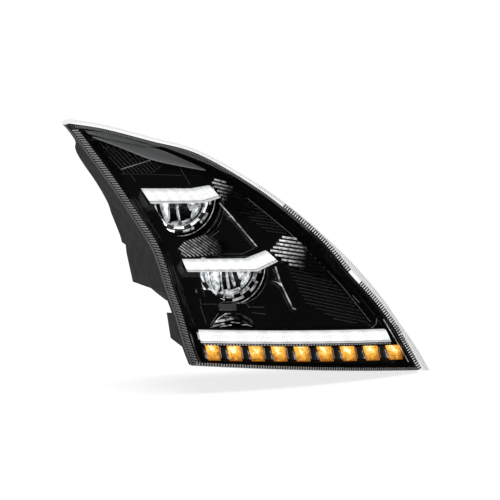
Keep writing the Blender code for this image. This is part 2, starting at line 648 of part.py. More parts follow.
def make_rear_fittings():
    back = PLATE_Y + GAP
    for prefix, (x, z) in (("upper", UPPER_CAP), ("lower", LOWER_CAP)):
        seal = ((31.6, back), (36.0, back), (36.0, back + 3.0), (31.6, back + 3.0))
        turned(prefix + "_cap_seal", (x, 0.0, z), seal, RUBBER)
        rear = back + 3.0 + GAP
        cap = ((0.0, -37.0), (28.0, -37.0), (30.0, -35.0), (30.0, rear), (37.5, rear),
               (37.5, rear + 6.0), (34.0, rear + 9.0), (12.0, rear + 9.0), (10.0, rear + 14.0),
               (0.0, rear + 14.0))
        turned(prefix + "_access_cap", (x, 0.0, z), cap, SATIN_BLACK)
    half_x, half_z = PAD_SIZE[0] / 2.0, PAD_SIZE[1] / 2.0
    box("rear_mount_pad", (-half_x, back, -half_z), (half_x, 0.0, half_z), SATIN_BLACK)
    for name, (x, z) in (("top", (-212, 166)), ("inboard", (-172, 20)), ("outboard", (50, -12))):
        turned("mount_boss_" + name, (x, 0.0, z),
               ((5.0, back), (10.0, back), (10.0, -16.0), (5.0, -16.0)), SATIN_BLACK, facets=24)
        turned("mount_stud_" + name, (x, 0.0, z),
               ((0.0, back), (4.0, back), (4.0, -3.0), (3.2, -2.0), (0.0, -2.0)), STEEL,
               facets=16)
    box("driver_module", (-36, back, 48), (36, -12.0, 96), ALUMINIUM)
    socket = box("connector_socket", (-94, back, 112), (-54, -10.0, 138), SATIN_BLACK)
    cavity = box("connector_cavity", (-90, -26.0, 116), (-58, -5.0, 134), GREY)
    boolean(socket, cavity, "DIFFERENCE")
    for name, x, z in (("upper", -60.0, 84.0), ("lower", -188.0, 70.0)):
        turned("breather_vent_" + name, (x, 0.0, z),
               ((0.0, back), (5.0, back), (5.0, -25.0), (8.0, -25.0), (8.0, -22.0), (6.5, -20.5),
                (0.0, -20.5)), RUBBER, facets=20)


make_outer_lens()
make_lens_seal()
make_housing()
make_inner_bezel()
make_tunnels()
make_trims()
make_light_bars()
make_turn_signal()
make_projector("upper", UPPER_PROJECTOR)
make_projector("lower", LOWER_PROJECTOR)
make_carrier()
make_pivots()
make_adjuster()
make_rear_fittings()
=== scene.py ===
import math

import bmesh
import bpy
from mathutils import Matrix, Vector


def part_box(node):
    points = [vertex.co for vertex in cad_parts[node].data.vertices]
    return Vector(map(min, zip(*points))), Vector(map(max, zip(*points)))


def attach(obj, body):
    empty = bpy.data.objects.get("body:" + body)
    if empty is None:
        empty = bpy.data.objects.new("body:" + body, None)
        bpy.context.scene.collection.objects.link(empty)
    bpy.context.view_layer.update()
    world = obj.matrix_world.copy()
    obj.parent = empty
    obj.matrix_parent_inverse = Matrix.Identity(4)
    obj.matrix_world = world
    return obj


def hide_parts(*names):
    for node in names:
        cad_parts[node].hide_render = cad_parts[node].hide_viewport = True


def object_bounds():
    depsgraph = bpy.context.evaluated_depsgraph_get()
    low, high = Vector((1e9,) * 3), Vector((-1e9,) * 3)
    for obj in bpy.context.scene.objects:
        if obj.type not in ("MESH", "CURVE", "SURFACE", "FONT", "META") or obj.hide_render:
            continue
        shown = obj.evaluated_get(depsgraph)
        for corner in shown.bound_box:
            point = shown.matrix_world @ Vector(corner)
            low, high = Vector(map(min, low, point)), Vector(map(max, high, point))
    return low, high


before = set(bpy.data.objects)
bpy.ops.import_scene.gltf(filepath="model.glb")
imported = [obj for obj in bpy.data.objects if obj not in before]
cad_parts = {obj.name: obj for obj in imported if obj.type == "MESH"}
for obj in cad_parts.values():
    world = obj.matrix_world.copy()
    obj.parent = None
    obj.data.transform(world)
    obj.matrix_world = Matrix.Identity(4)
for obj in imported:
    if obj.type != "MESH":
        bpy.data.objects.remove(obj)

CAD_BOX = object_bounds()
MM = 0.001
BODY = "lamp_body"

# Outline stations from the bottom edge to the tip, as (x, z) on the inboard and outboard edges.
INBOARD_EDGE = (
    (-200, -93), (-208, -68), (-218, -22), (-226, 8), (-235, 50), (-244, 78), (-265, 117),
    (-285, 154), (-300, 180), (-315, 205), (-328, 227), (-338, 243), (-343, 250))
OUTBOARD_EDGE = (
    (203, -130), (190, -108), (172, -80), (163, -64), (128, -20), (86, 24), (49, 68),
    (5, 108), (-59, 157), (-145, 207), (-217, 227), (-285, 245), (-334, 253))
LENS_INBOARD_EDGE = INBOARD_EDGE[:-2] + ((-340, 244), (-348, 255))
LENS_OUTBOARD_EDGE = (
    (224.5, -131.5), (207, -104), (187, -76), (175, -61), (140, -14), (96, 35), (55, 74),
    (10, 113), (-56, 161), (-143, 211), (-216, 232.5), (-284, 251), (-337, 260))
BODY_EDGES = (INBOARD_EDGE, OUTBOARD_EDGE)
LENS_EDGES = (LENS_INBOARD_EDGE, LENS_OUTBOARD_EDGE)
TIP = len(INBOARD_EDGE) - 1
BOTTOM_PITCH, TIP_PITCH = 27.0, 13.0

LENS_THICKNESS, LIP_DEPTH, WALL = 3.0, 7.0, 3.2
SEAL_FRONT, RIM_OFFSET, BORDER = 4.6, 8.6, 12.0
SLIM_SHARE, BEZEL_SHARE = 0.5, 0.4
BEZEL_OFFSET, BEZEL_THICKNESS = 27.0, 2.6
PLATE_Y = -30.0


def node_centre(name):
    low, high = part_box(name)
    return tuple((low + high) / 2 / MM)


# Each projector is placed by its lens: same centre in X and Z, its flat back 3 mm behind the ring.
PROJECTORS = {}
for prefix in ("upper", "lower"):
    centre = node_centre(prefix + "_projector_lens")
    PROJECTORS[prefix] = (centre[0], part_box(prefix + "_projector_lens")[1].y / MM - 3.0, centre[2])
LENS_RADIUS, LENS_RISE = 40.0, 15.0


# ---------------------------------------------------------------- geometry helpers

def lerp(a, b, f):
    return a + (b - a) * f


def smooth(f):
    f = min(max(f, 0.0), 1.0)
    return f * f * (3.0 - 2.0 * f)


def lens_y(x, z):
    """Height of the raked, wrapped front surface."""
    h, s = z + 116.0, x + 182.0
    return -283.0 + 0.28 * h + 0.00052 * h * abs(h) + 0.06 * s + 0.00071 * s * s


def spline(points, t):
    last = len(points) - 1
    start = max(min(int(t), last - 1), 0)
    f = t - start
    four = [points[min(max(k, 0), last)] for k in range(start - 1, start + 3)]
    return tuple(
        0.5 * (2 * b + (c - a) * f + (2 * a - 5 * b + 4 * c - d) * f * f
               + (3 * b - a - 3 * c + d) * f ** 3)
        for a, b, c, d in zip(*four))


def row_step(edge, t, across, inset):
    x0, z0 = spline(edge, max(t - 0.02, 0.0))
    x1, z1 = spline(edge, min(t + 0.02, TIP))
    length = math.hypot(x1 - x0, z1 - z0)
    return inset * length / abs(across[0] * (z1 - z0) - across[1] * (x1 - x0))


def body_point(u, t, inset, share=1.0, edges=BODY_EDGES):
    t = min(max(t, share * inset / BOTTOM_PITCH), TIP - inset / TIP_PITCH)
    (x0, z0), (x1, z1) = spline(edges[0], t), spline(edges[1], t)
    width = math.hypot(x1 - x0, z1 - z0)
    across = ((x1 - x0) / width, (z1 - z0) / width)
    start = row_step(edges[0], t, across, inset)
    end = width - row_step(edges[1], t, across, share * inset)
    along = lerp(start, end, u)
    return x0 + across[0] * along, z0 + across[1] * along


def spread_point(u, f, inset, share=1.0, edges=BODY_EDGES):
    """Like body_point, with f from 0 to 1 spread evenly over the inset outline."""
    t = lerp(share * inset / BOTTOM_PITCH, TIP - inset / TIP_PITCH, f)
    return body_point(u, t, inset, share, edges)


def row_width(t):
    (x0, z0), (x1, z1) = spline(INBOARD_EDGE, t), spline(OUTBOARD_EDGE, t)
    return math.hypot(x1 - x0, z1 - z0)


def on_lens(point, offset):
    return point[0], lens_y(point[0], point[1]) + offset, point[1]


def polyline(points, per_side):
    result = [points[0]]
    for a, b in zip(points, points[1:]):
        for k in range(1, per_side + 1):
            result.append(tuple(lerp(p, q, k / per_side) for p, q in zip(a, b)))
    return result


def curve(points, count):
    last = len(points) - 1
    return [spline(points, last * k / (count - 1)) for k in range(count)]


def resample(points, pitch):
    """Points spaced evenly by the pitch along a path."""
    result, left = [points[0]], pitch
    for a, b in zip(points, points[1:]):
        length = math.dist(a, b)
        while length >= left:
            a = tuple(lerp(p, q, left / length) for p, q in zip(a, b))
            result.append(a)
            length, left = math.dist(a, b), pitch
        left -= length
    return result


def arc(centre, radius, start, end, count):
    return [(centre[0] + radius * math.cos(math.radians(lerp(start, end, k / count))),
             centre[1] + radius * math.sin(math.radians(lerp(start, end, k / count))))
            for k in range(count + 1)]


CREST_SHARE = 0.35             # a ridge's crest is this share of its foot's width


def rim_of(rows):
    high, wide = len(rows), len(rows[0])
    return ([(0, i) for i in range(wide)] + [(j, wide - 1) for j in range(1, high)]
            + [(high - 1, i) for i in range(wide - 2, -1, -1)]
            + [(j, 0) for j in range(high - 2, 0, -1)])


class Shape:
    """A mesh in the making: vertices in millimetres, faces with a material number, and a
    (u, v) pair for each vertex."""

    def __init__(self):
        self.verts, self.uvs, self.faces, self.kinds = [], [], [], []

    def add(self, verts, faces, uvs=None, kind=0):
        base = len(self.verts)
        self.verts += verts
        self.uvs += uvs or [(0.0, 0.0)] * len(verts)
        self.faces += [tuple(base + i for i in face) for face in faces]
        self.kinds += [kind] * len(faces)

    def slab(self, front, back, loops=(), kind=0, wall_kind=None):
        """Closed solid between two grids of points, with extra loops round its wall."""
        wide, high = len(front[0]), len(front)
        count = high * wide
        verts = [p for row in front for p in row] + [p for row in back for p in row]
        uvs = [(i / (wide - 1), j / (high - 1)) for j in range(high) for i in range(wide)] * 2
        faces, kinds = [], []
        for base in (0, count):
            for j in range(high - 1):
                for i in range(wide - 1):
                    a = base + j * wide + i
                    faces.append((a, a + 1, a + wide + 1, a + wide))
                    kinds.append(kind(j, i) if callable(kind) else kind)
        rim = rim_of(front)
        rings = [[j * wide + i for j, i in rim]]
        for loop in loops:
            rings.append(list(range(len(verts), len(verts) + len(rim))))
            verts.extend(loop)
            uvs.extend([(i / (wide - 1), j / (high - 1)) for j, i in rim])
        rings.append([count + j * wide + i for j, i in rim])
        wall = []
        for near, far in zip(rings, rings[1:]):
            for k in range(len(rim)):
                n = (k + 1) % len(rim)
                wall.append((near[k], near[n], far[n], far[k]))
        base = len(self.verts)
        self.add(verts, faces, uvs)
        self.faces += [tuple(base + i for i in face) for face in wall]
        self.kinds[-len(faces):] = kinds
        for k in range(len(wall)):
            j, i = rim[k % len(rim)]
            self.kinds.append(wall_kind(j, i) if callable(wall_kind) else kind)

    def panel(self, bottom, top, offset, thickness, rows=1, relief=None, kind=0):
        """Strip between two rails of (x, z) points, a set distance behind the lens surface."""
        grids = ([], [])
        for j in range(rows + 1):
            lines = ([], [])
            for i, (low, high) in enumerate(zip(bottom, top)):
                point = tuple(lerp(a, b, j / rows) for a, b in zip(low, high))
                raised = relief(i / (len(bottom) - 1), j / rows) if relief else 0.0
                lines[0].append(on_lens(point, offset - raised))
                lines[1].append(on_lens(point, offset + thickness))
            grids[0].append(lines[0])
            grids[1].append(lines[1])
        self.slab(grids[0], grids[1], kind=kind)

    def bar(self, a, b, width, low, high, kind=0):
        """Thin ridge from a to b in (x, z), its foot and crest at two offsets from the lens."""
        dx, dz = b[0] - a[0], b[1] - a[1]
        length = math.hypot(dx, dz)
        nx, nz = -dz / length * width / 2, dx / length * width / 2
        verts = []
        for x, z in (a, b):
            for side, offset in ((1.0, low), (-1.0, low), (-CREST_SHARE, high), (CREST_SHARE, high)):
                verts.append(on_lens((x + nx * side, z + nz * side), offset))
        faces = [(0, 1, 2, 3), (7, 6, 5, 4)] + [(k, (k + 1) % 4, (k + 1) % 4 + 4, k + 4)
                                                for k in range(4)]
        self.add(verts, faces, kind=kind)

    def ridge(self, a, b, width, low, high):
        """A bar in short lengths, so that it follows the curve of the lens."""
        points = polyline([a, b], 1 + int(math.dist(a, b) / 9.0))
        for p, q in zip(points, points[1:]):
            self.bar(p, q, width, low, high)

    def turned(self, centre, profile, facets=96, radius=None):
        """Turned solid; radius(angle, r, y) may change the radius round the turn."""
        solid = profile[0][0] == 0.0
        verts, rings = [], []
        for r, along in profile:
            if r == 0.0:
                rings.append([len(verts)])
                verts.append((0.0, along, 0.0))
                continue
            rings.append(list(range(len(verts), len(verts) + facets)))
            for k in range(facets):
                angle = 2.0 * math.pi * k / facets
                rr = radius(angle, r, along) if radius else r
                verts.append((rr * math.cos(angle), along, rr * math.sin(angle)))
        verts = [tuple(c + v for c, v in zip(centre, vert)) for vert in verts]
        faces = []
        for near, far in list(zip(rings, rings[1:])) + ([] if solid else [(rings[-1], rings[0])]):
            for k in range(facets):
                n = (k + 1) % facets
                if len(near) == 1:
                    faces.append((near[0], far[n], far[k]))
                elif len(far) == 1:
                    faces.append((near[k], near[n], far[0]))
                else:
                    faces.append((near[k], near[n], far[n], far[k]))
        self.add(verts, faces)

    def arc_block(self, centre, inner, outer, start, end, front, back, steps=8):
        """Block bent round an arc in the XZ plane, with a slightly crowned front."""
        verts, faces = [], []
        section = ((inner, back), (inner, front + 0.5), (inner + 0.5, front),
                   (outer - 0.5, front), (outer, front + 0.5), (outer, back))
        for k in range(steps + 1):
            angle = math.radians(lerp(start, end, k / steps))
            for r, y in section:
                verts.append((centre[0] + r * math.cos(angle), centre[1] + y,
                              centre[2] + r * math.sin(angle)))
        n = len(section)
        faces += [tuple(range(n)), tuple(range(steps * n + n - 1, steps * n - 1, -1))]
        for k in range(steps):
            for i in range(n):
                a, b = k * n + i, k * n + (i + 1) % n
                faces.append((a, b, b + n, a + n))
        self.add(verts, faces)

    def prism(self, outline, y_front, y_back):
        count = len(outline)
        verts = [(x, y, z) for y in (y_front, y_back) for x, z in outline]
        faces = [tuple(range(count)), tuple(range(2 * count - 1, count - 1, -1))]
        for k in range(count):
            n = (k + 1) % count
            faces.append((k, n, count + n, count + k))
        self.add(verts, faces)

    def box(self, low, high):
        outline = [(low[0], low[2]), (high[0], low[2]), (high[0], high[2]), (low[0], high[2])]
        self.prism(outline, low[1], high[1])

    def make_plain(self, name):
        """Turn the shape into a bare object with its faces turned outward."""
        mesh = bpy.data.meshes.new(name)
        mesh.from_pydata([tuple(c * MM for c in v) for v in self.verts], [], self.faces)
        mesh.polygons.foreach_set("material_index", self.kinds)
        build = bmesh.new()
        build.from_mesh(mesh)
        bmesh.ops.recalc_face_normals(build, faces=build.faces)
        build.to_mesh(mesh)
        build.free()
        obj = bpy.data.objects.new(name, mesh)
        bpy.context.scene.collection.objects.link(obj)
        return obj

    def make(self, name, materials, slot=None, body=BODY, replaces=(), smooth_angle=30.0,
             bevel=0.0, cutters=()):
        """Turn the shape into an object that rides on a body."""
        obj = self.make_plain(name)
        layer = obj.data.uv_layers.new(name="UVMap")
        for loop in obj.data.loops:
            layer.data[loop.index].uv = self.uvs[loop.vertex_index]
        for material in materials if isinstance(materials, (list, tuple)) else [materials]:
            obj.data.materials.append(material)
        for cutter in cutters:
            tool = cutter.make_plain(name + "_tool")
            modifier = obj.modifiers.new(tool.name, "BOOLEAN")
            modifier.operation = "DIFFERENCE"
            modifier.object = tool
            apply_modifiers(obj)
            bpy.data.objects.remove(tool, do_unlink=True)
        if bevel:
            modifier = obj.modifiers.new("edge", "BEVEL")
            modifier.width = bevel * MM
            modifier.segments = 2
            modifier.angle_limit = math.radians(40.0)
            apply_modifiers(obj)
        obj.data.shade_smooth()
        obj.data.set_sharp_from_angle(angle=math.radians(smooth_angle))
        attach(obj, body)
        if replaces:
            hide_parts(*replaces)
        return obj


def apply_modifiers(obj):
    bpy.context.view_layer.update()
    graph = bpy.context.evaluated_depsgraph_get()
    mesh = bpy.data.meshes.new_from_object(obj.evaluated_get(graph))
    obj.modifiers.clear()
    obj.data = mesh


def hatch(polygon, direction, pitch, margin=0.0):
    """Parallel stretches across a convex (x, z) polygon."""
    dx, dz = math.cos(math.radians(direction)), math.sin(math.radians(direction))
    places = [(-dz * x + dx * z) for x, z in polygon]
    result = []
    place = min(places) + pitch * 0.6
    while place < max(places):
        hits = []
        for k, (ax, az) in enumerate(polygon):
            bx, bz = polygon[(k + 1) % len(polygon)]
            pa, pb = -dz * ax + dx * az - place, -dz * bx + dx * bz - place
            if (pa < 0) != (pb < 0):
                f = pa / (pa - pb)
                hits.append((lerp(ax, bx, f), lerp(az, bz, f)))
        if len(hits) >= 2:
            hits.sort(key=lambda p: p[0] * dx + p[1] * dz)
            a, b = hits[0], hits[-1]
            if math.dist(a, b) > 2.0 * margin + 1.5:
                result.append(((a[0] + dx * margin, a[1] + dz * margin),
                               (b[0] - dx * margin, b[1] - dz * margin)))
        place += pitch
    return result


# ---------------------------------------------------------------- materials

def new_material(name, color, roughness, metallic=0.0, coat=0.0, specular=0.5):
    material = bpy.data.materials.new(name)
    material.use_nodes = True
    tree = material.node_tree
    shader = tree.nodes["Principled BSDF"]
    shader.inputs["Base Color"].default_value = (*color, 1.0)
    shader.inputs["Roughness"].default_value = roughness
    shader.inputs["Metallic"].default_value = metallic
    shader.inputs["Coat Weight"].default_value = coat
    shader.inputs["Coat Roughness"].default_value = 0.06
    shader.inputs["Specular IOR Level"].default_value = specular
    return material, tree, shader


def place(tree, stretch=(1.0, 1.0, 1.0), turn=0.0):
    """Object coordinates in metres, stretched and turned about Y."""
    coords = tree.nodes.new("ShaderNodeTexCoord")
    mapping = tree.nodes.new("ShaderNodeMapping")
    mapping.inputs["Scale"].default_value = stretch
    mapping.inputs["Rotation"].default_value = (0.0, math.radians(turn), 0.0)
    tree.links.new(coords.outputs["Object"], mapping.inputs["Vector"])
    return mapping.outputs["Vector"]


def noise_of(tree, vector, scale, detail=3.0, rough=0.55):
    node = tree.nodes.new("ShaderNodeTexNoise")
    node.inputs["Scale"].default_value = scale
    node.inputs["Detail"].default_value = detail
    node.inputs["Roughness"].default_value = rough
    tree.links.new(vector, node.inputs["Vector"])
    return node.outputs["Fac"]


def spread(tree, value, low, high, start=0.3, end=0.7):
    """Map a 0..1 pattern onto a range."""
    node = tree.nodes.new("ShaderNodeMapRange")
    node.inputs["From Min"].default_value = start
    node.inputs["From Max"].default_value = end
    node.inputs["To Min"].default_value = low
    node.inputs["To Max"].default_value = high
    tree.links.new(value, node.inputs["Value"])
    return node.outputs["Result"]


def blend_colors(tree, factor, a, b):
    """Mix of two colours, each a plain colour or a socket."""
    node = tree.nodes.new("ShaderNodeMix")
    node.data_type = "RGBA"
    tree.links.new(factor, node.inputs["Factor"])
    for name, color in (("A", a), ("B", b)):
        socket = [s for s in node.inputs if s.name == name and s.type == "RGBA"][0]
        if isinstance(color, bpy.types.NodeSocket):
            tree.links.new(color, socket)
        else:
            socket.default_value = (*color, 1.0)
    return [s for s in node.outputs if s.type == "RGBA"][0]


def maths(tree, operation, a, b=0.5):
    node = tree.nodes.new("ShaderNodeMath")
    node.operation = operation
    for k, value in enumerate((a, b)):
        if isinstance(value, bpy.types.NodeSocket):
            tree.links.new(value, node.inputs[k])
        else:
            node.inputs[k].default_value = value
    return node.outputs["Value"]


def add_bump(tree, shader, height, strength, distance):
    node = tree.nodes.new("ShaderNodeBump")
    node.inputs["Strength"].default_value = strength
    node.inputs["Distance"].default_value = distance
    tree.links.new(height, node.inputs["Height"])
    tree.links.new(node.outputs["Normal"], shader.inputs["Normal"])


def plastic(name, color, roughness, grain=900.0, depth=0.00006, spread_by=0.25, edge=0.0,
            specular=0.5):
    """Moulded plastic: slow colour drift, uneven gloss, fine grain and a paler colour on sharp convex
    edges.
    """
    material, tree, shader = new_material(name, color, roughness, specular=specular)
    vector = place(tree)
    drift = noise_of(tree, vector, 14.0, 4.0)
    darker = tuple(c * (1.0 - spread_by) for c in color)
    paler = tuple(min(c * (1.0 + spread_by), 1.0) for c in color)
    base = blend_colors(tree, drift, darker, paler)
    if edge:
        geometry = tree.nodes.new("ShaderNodeNewGeometry")
        paler_edge = spread(tree, geometry.outputs["Pointiness"], 0.0, edge, 0.52, 0.62)
        base = blend_colors(tree, paler_edge, base, tuple(min(c * 2.2 + 0.03, 1.0) for c in color))
    tree.links.new(base, shader.inputs["Base Color"])
    gloss = noise_of(tree, vector, 60.0, 5.0)
    rough = spread(tree, gloss, max(roughness - 0.07, 0.02), roughness + 0.08)
    tree.links.new(rough, shader.inputs["Roughness"])
    add_bump(tree, shader, noise_of(tree, vector, grain, 2.0), 0.5, depth)
    return material


def metal(name, color, roughness, stretch=(1.0, 1.0, 1.0), scale=300.0, depth=0.00003,
          spread_by=0.12):
    material, tree, shader = new_material(name, color, roughness, metallic=1.0)
    vector = place(tree, stretch)
    grain = noise_of(tree, vector, scale, 4.0)
    darker = tuple(c * (1.0 - spread_by) for c in color)
    tree.links.new(blend_colors(tree, grain, darker, color), shader.inputs["Base Color"])
    rough = spread(tree, noise_of(tree, vector, scale * 0.3, 3.0), roughness * 0.7, roughness * 1.4)
    tree.links.new(rough, shader.inputs["Roughness"])
    add_bump(tree, shader, grain, 0.4, depth)
    return material


def chrome_painted_shade_and_glints(name, along, start, end, glow):
    """Chrome whose colour is painted from bright to near black along a line, from one place to another, as
    painted shade, with painted glints glowing on its bright part.
    """
    material, tree, shader = new_material(name, (0.8, 0.81, 0.83), 0.1, metallic=1.0)
    vector = place(tree)
    dot = tree.nodes.new("ShaderNodeVectorMath")
    dot.operation = "DOT_PRODUCT"
    tree.links.new(vector, dot.inputs[0])
    dot.inputs[1].default_value = along
    patchy = noise_of(tree, vector, 90.0, 3.0)
    shift = maths(tree, "MULTIPLY", maths(tree, "SUBTRACT", patchy, 0.5), (end - start) * 0.5)
    painted_shade = spread(tree, maths(tree, "ADD", dot.outputs["Value"], shift), 0.0, 1.0, start, end)
    color = blend_colors(tree, painted_shade, (0.82, 0.83, 0.85), (0.015, 0.015, 0.0165))
    tree.links.new(color, shader.inputs["Base Color"])
    shader.inputs["Emission Color"].default_value = (1.0, 1.0, 1.0, 1.0)
    # painted glints: speckled emission, only where the chrome is not painted dark
    painted_glints = spread(tree, noise_of(tree, vector, 200.0, 2.0), glow * 0.25, glow, 0.4, 0.56)
    lit = maths(tree, "MULTIPLY", painted_glints, maths(tree, "SUBTRACT", 1.0, painted_shade))
    tree.links.new(lit, shader.inputs["Emission Strength"])
    rough = spread(tree, noise_of(tree, vector, 220.0, 3.0), 0.07, 0.2)
    tree.links.new(rough, shader.inputs["Roughness"])
    add_bump(tree, shader, noise_of(tree, vector, 500.0, 2.0), 0.25, 0.00004)
    return material


def clear_plastic(name, tint, gloss_tint, ior):
    """See-through plastic: light passes straight on, and its skin mirrors by angle."""
    material = bpy.data.materials.new(name)
    material.use_nodes = True
    tree = material.node_tree
    tree.nodes.remove(tree.nodes["Principled BSDF"])
    output = tree.nodes["Material Output"]
    through = tree.nodes.new("ShaderNodeBsdfTransparent")
    through.inputs["Color"].default_value = (*tint, 1.0)
    skin = tree.nodes.new("ShaderNodeBsdfPrincipled")
    skin.inputs["Base Color"].default_value = (*gloss_tint, 1.0)
    skin.inputs["Metallic"].default_value = 1.0
    vector = place(tree)
    rough = spread(tree, noise_of(tree, vector, 25.0, 4.0), 0.015, 0.06)
    tree.links.new(rough, skin.inputs["Roughness"])
    weight = tree.nodes.new("ShaderNodeLayerWeight")
    weight.inputs["Blend"].default_value = 0.5
    straight_on = ((ior - 1.0) / (ior + 1.0)) ** 2
    glancing = maths(tree, "POWER", weight.outputs["Facing"], 5.0)
    share = maths(tree, "ADD", maths(tree, "MULTIPLY", glancing, 1.0 - straight_on), straight_on)
    mix = tree.nodes.new("ShaderNodeMixShader")
    tree.links.new(share, mix.inputs["Fac"])
    tree.links.new(through.outputs["BSDF"], mix.inputs[1])
    tree.links.new(skin.outputs["BSDF"], mix.inputs[2])
    tree.links.new(mix.outputs["Shader"], output.inputs["Surface"])
    return material


def frosted_plastic(name, milk, tint):
    """Thick edge of clear plastic: mostly see-through, a little milky from its moulded ribs."""
    material, tree, shader = new_material(name, (0.86, 0.87, 0.88), 0.3)
    vector = place(tree)
    drift = noise_of(tree, vector, 60.0, 4.0)
    tree.links.new(blend_colors(tree, drift, (0.7, 0.71, 0.72), (0.92, 0.93, 0.94)),
                   shader.inputs["Base Color"])
    tree.links.new(spread(tree, drift, 0.2, 0.4), shader.inputs["Roughness"])
    add_bump(tree, shader, noise_of(tree, vector, 500.0, 2.0), 0.3, 0.0001)
    through = tree.nodes.new("ShaderNodeBsdfTransparent")
    through.inputs["Color"].default_value = (tint, tint, tint, 1.0)
    mix = tree.nodes.new("ShaderNodeMixShader")
    mix.inputs["Fac"].default_value = milk
    tree.links.new(through.outputs["BSDF"], mix.inputs[1])
    tree.links.new(shader.outputs["BSDF"], mix.inputs[2])
    tree.links.new(mix.outputs["Shader"], tree.nodes["Material Output"].inputs["Surface"])
    return material


def chrome_painted_glow(name, glow):
    """Chrome with a painted glow: patchy emission paints highlights on it, patchy as a faceted mirror is.
    """
    material, tree, shader = new_material(name, (0.86, 0.87, 0.89), 0.12, metallic=1.0)
    vector = place(tree)
    patchy = noise_of(tree, vector, 130.0, 2.0)
    tree.links.new(blend_colors(tree, spread(tree, patchy, 0.0, 1.0, 0.4, 0.6),
                                (0.5, 0.51, 0.52), (0.88, 0.89, 0.9)), shader.inputs["Base Color"])
    shader.inputs["Emission Color"].default_value = (1.0, 1.0, 1.0, 1.0)
    tree.links.new(spread(tree, patchy, glow * 0.15, glow * 1.6, 0.36, 0.62),
                   shader.inputs["Emission Strength"])
    tree.links.new(spread(tree, noise_of(tree, vector, 400.0, 3.0), 0.06, 0.2),
                   shader.inputs["Roughness"])
    add_bump(tree, shader, noise_of(tree, vector, 180.0, 2.0), 0.4, 0.0003)
    return material


def uv_axes(tree):
    node = tree.nodes.new("ShaderNodeUVMap")
    node.uv_map = "UVMap"
    split = tree.nodes.new("ShaderNodeSeparateXYZ")
    tree.links.new(node.outputs["UV"], split.inputs["Vector"])
    return split.outputs["X"], split.outputs["Y"]


def lit_bar(name, ribs, spots, strength, groove=0.14, dim=0.25):
    """Milky light guide that glows: softer at its rim, with fine ribs and a row of spots."""
    material, tree, shader = new_material(name, (0.16, 0.163, 0.167), 0.32)
    u, v = uv_axes(tree)
    rim = maths(tree, "MINIMUM", v, maths(tree, "SUBTRACT", 1.0, v))
    core = spread(tree, rim, 0.55, 1.0, 0.02, 0.3)
    line = maths(tree, "ABSOLUTE", maths(tree, "SUBTRACT", v, groove), 0.0)
    seam = spread(tree, line, 0.35, 1.0, 0.015, 0.05)
    wave = maths(tree, "SINE", maths(tree, "MULTIPLY", u, 2.0 * math.pi * ribs), 0.0)
    mid = maths(tree, "ABSOLUTE", maths(tree, "SUBTRACT", v, 0.5), 0.0)
    depth = spread(tree, mid, dim, 0.0, 0.12, 0.34)
    rib = maths(tree, "SUBTRACT", 1.0, maths(tree, "MULTIPLY", depth,
                                             spread(tree, wave, 0.0, 1.0, -0.2, 1.0)))
    dots = maths(tree, "SINE", maths(tree, "MULTIPLY", u, 2.0 * math.pi * spots), 0.0)
    blob = spread(tree, dots, 0.9, 1.05, -1.0, 1.0)
    mottle = spread(tree, noise_of(tree, place(tree), 300.0, 3.0), 0.8, 1.06)
    power = maths(tree, "MULTIPLY", core, seam)
    for part in (rib, blob, mottle):
        power = maths(tree, "MULTIPLY", power, part)
    shader.inputs["Emission Color"].default_value = (1.0, 1.0, 1.0, 1.0)
    tree.links.new(maths(tree, "MULTIPLY", power, strength), shader.inputs["Emission Strength"])
    tree.links.new(spread(tree, mottle, 0.25, 0.4, 0.8, 1.06), shader.inputs["Roughness"])
    add_bump(tree, shader, wave, 0.3, 0.0002)
    return material


def lit_amber(name):
    """Amber block over its lamp: a pale hot spot, mottled by small facets, darker edges."""
    material, tree, shader = new_material(name, (0.25, 0.1, 0.012), 0.22)
    u, v = uv_axes(tree)
    du = maths(tree, "MULTIPLY", maths(tree, "SUBTRACT", u, 0.4), 1.1)
    dv = maths(tree, "MULTIPLY", maths(tree, "SUBTRACT", v, 0.78), 1.0)
    reach = maths(tree, "SQRT", maths(tree, "ADD", maths(tree, "MULTIPLY", du, du),
                                      maths(tree, "MULTIPLY", dv, dv)), 0.0)
    voronoi = tree.nodes.new("ShaderNodeTexVoronoi")
    voronoi.inputs["Scale"].default_value = 420.0
    tree.links.new(place(tree), voronoi.inputs["Vector"])
    facets = spread(tree, voronoi.outputs["Distance"], -0.16, 0.2, 0.0, 0.9)
    cloud = spread(tree, noise_of(tree, place(tree), 150.0, 3.0), -0.16, 0.2)
    level = maths(tree, "ADD", maths(tree, "ADD", reach, facets), cloud)
    glow = blend_colors(tree, spread(tree, level, 0.0, 1.0, 0.1, 0.34), (1.0, 0.88, 0.5),
                        (0.74, 0.36, 0.045))
    glow = blend_colors(tree, spread(tree, level, 0.0, 1.0, 0.4, 0.85), glow, (0.2, 0.06, 0.004))
    tree.links.new(glow, shader.inputs["Emission Color"])
    shader.inputs["Emission Strength"].default_value = 1.6
    add_bump(tree, shader, voronoi.outputs["Distance"], 0.5, 0.0004)
    return material


SATIN_BLACK = plastic("satin black housing plastic", (0.021, 0.021, 0.023), 0.5, grain=1400.0,
                      edge=0.4, specular=0.25)
DULL_BLACK = plastic("grained black plastic", (0.028, 0.028, 0.03), 0.5, grain=700.0,
                     depth=0.00012, edge=0.6)
GLOSS_BLACK = plastic("gloss black bezel plastic", (0.0035, 0.0035, 0.004), 0.13, grain=40.0,
                      depth=0.00003, specular=0.3)
TEXTURED_BLACK = plastic("gloss black ribs", (0.085, 0.085, 0.088), 0.3, grain=400.0,
                         depth=0.00004)
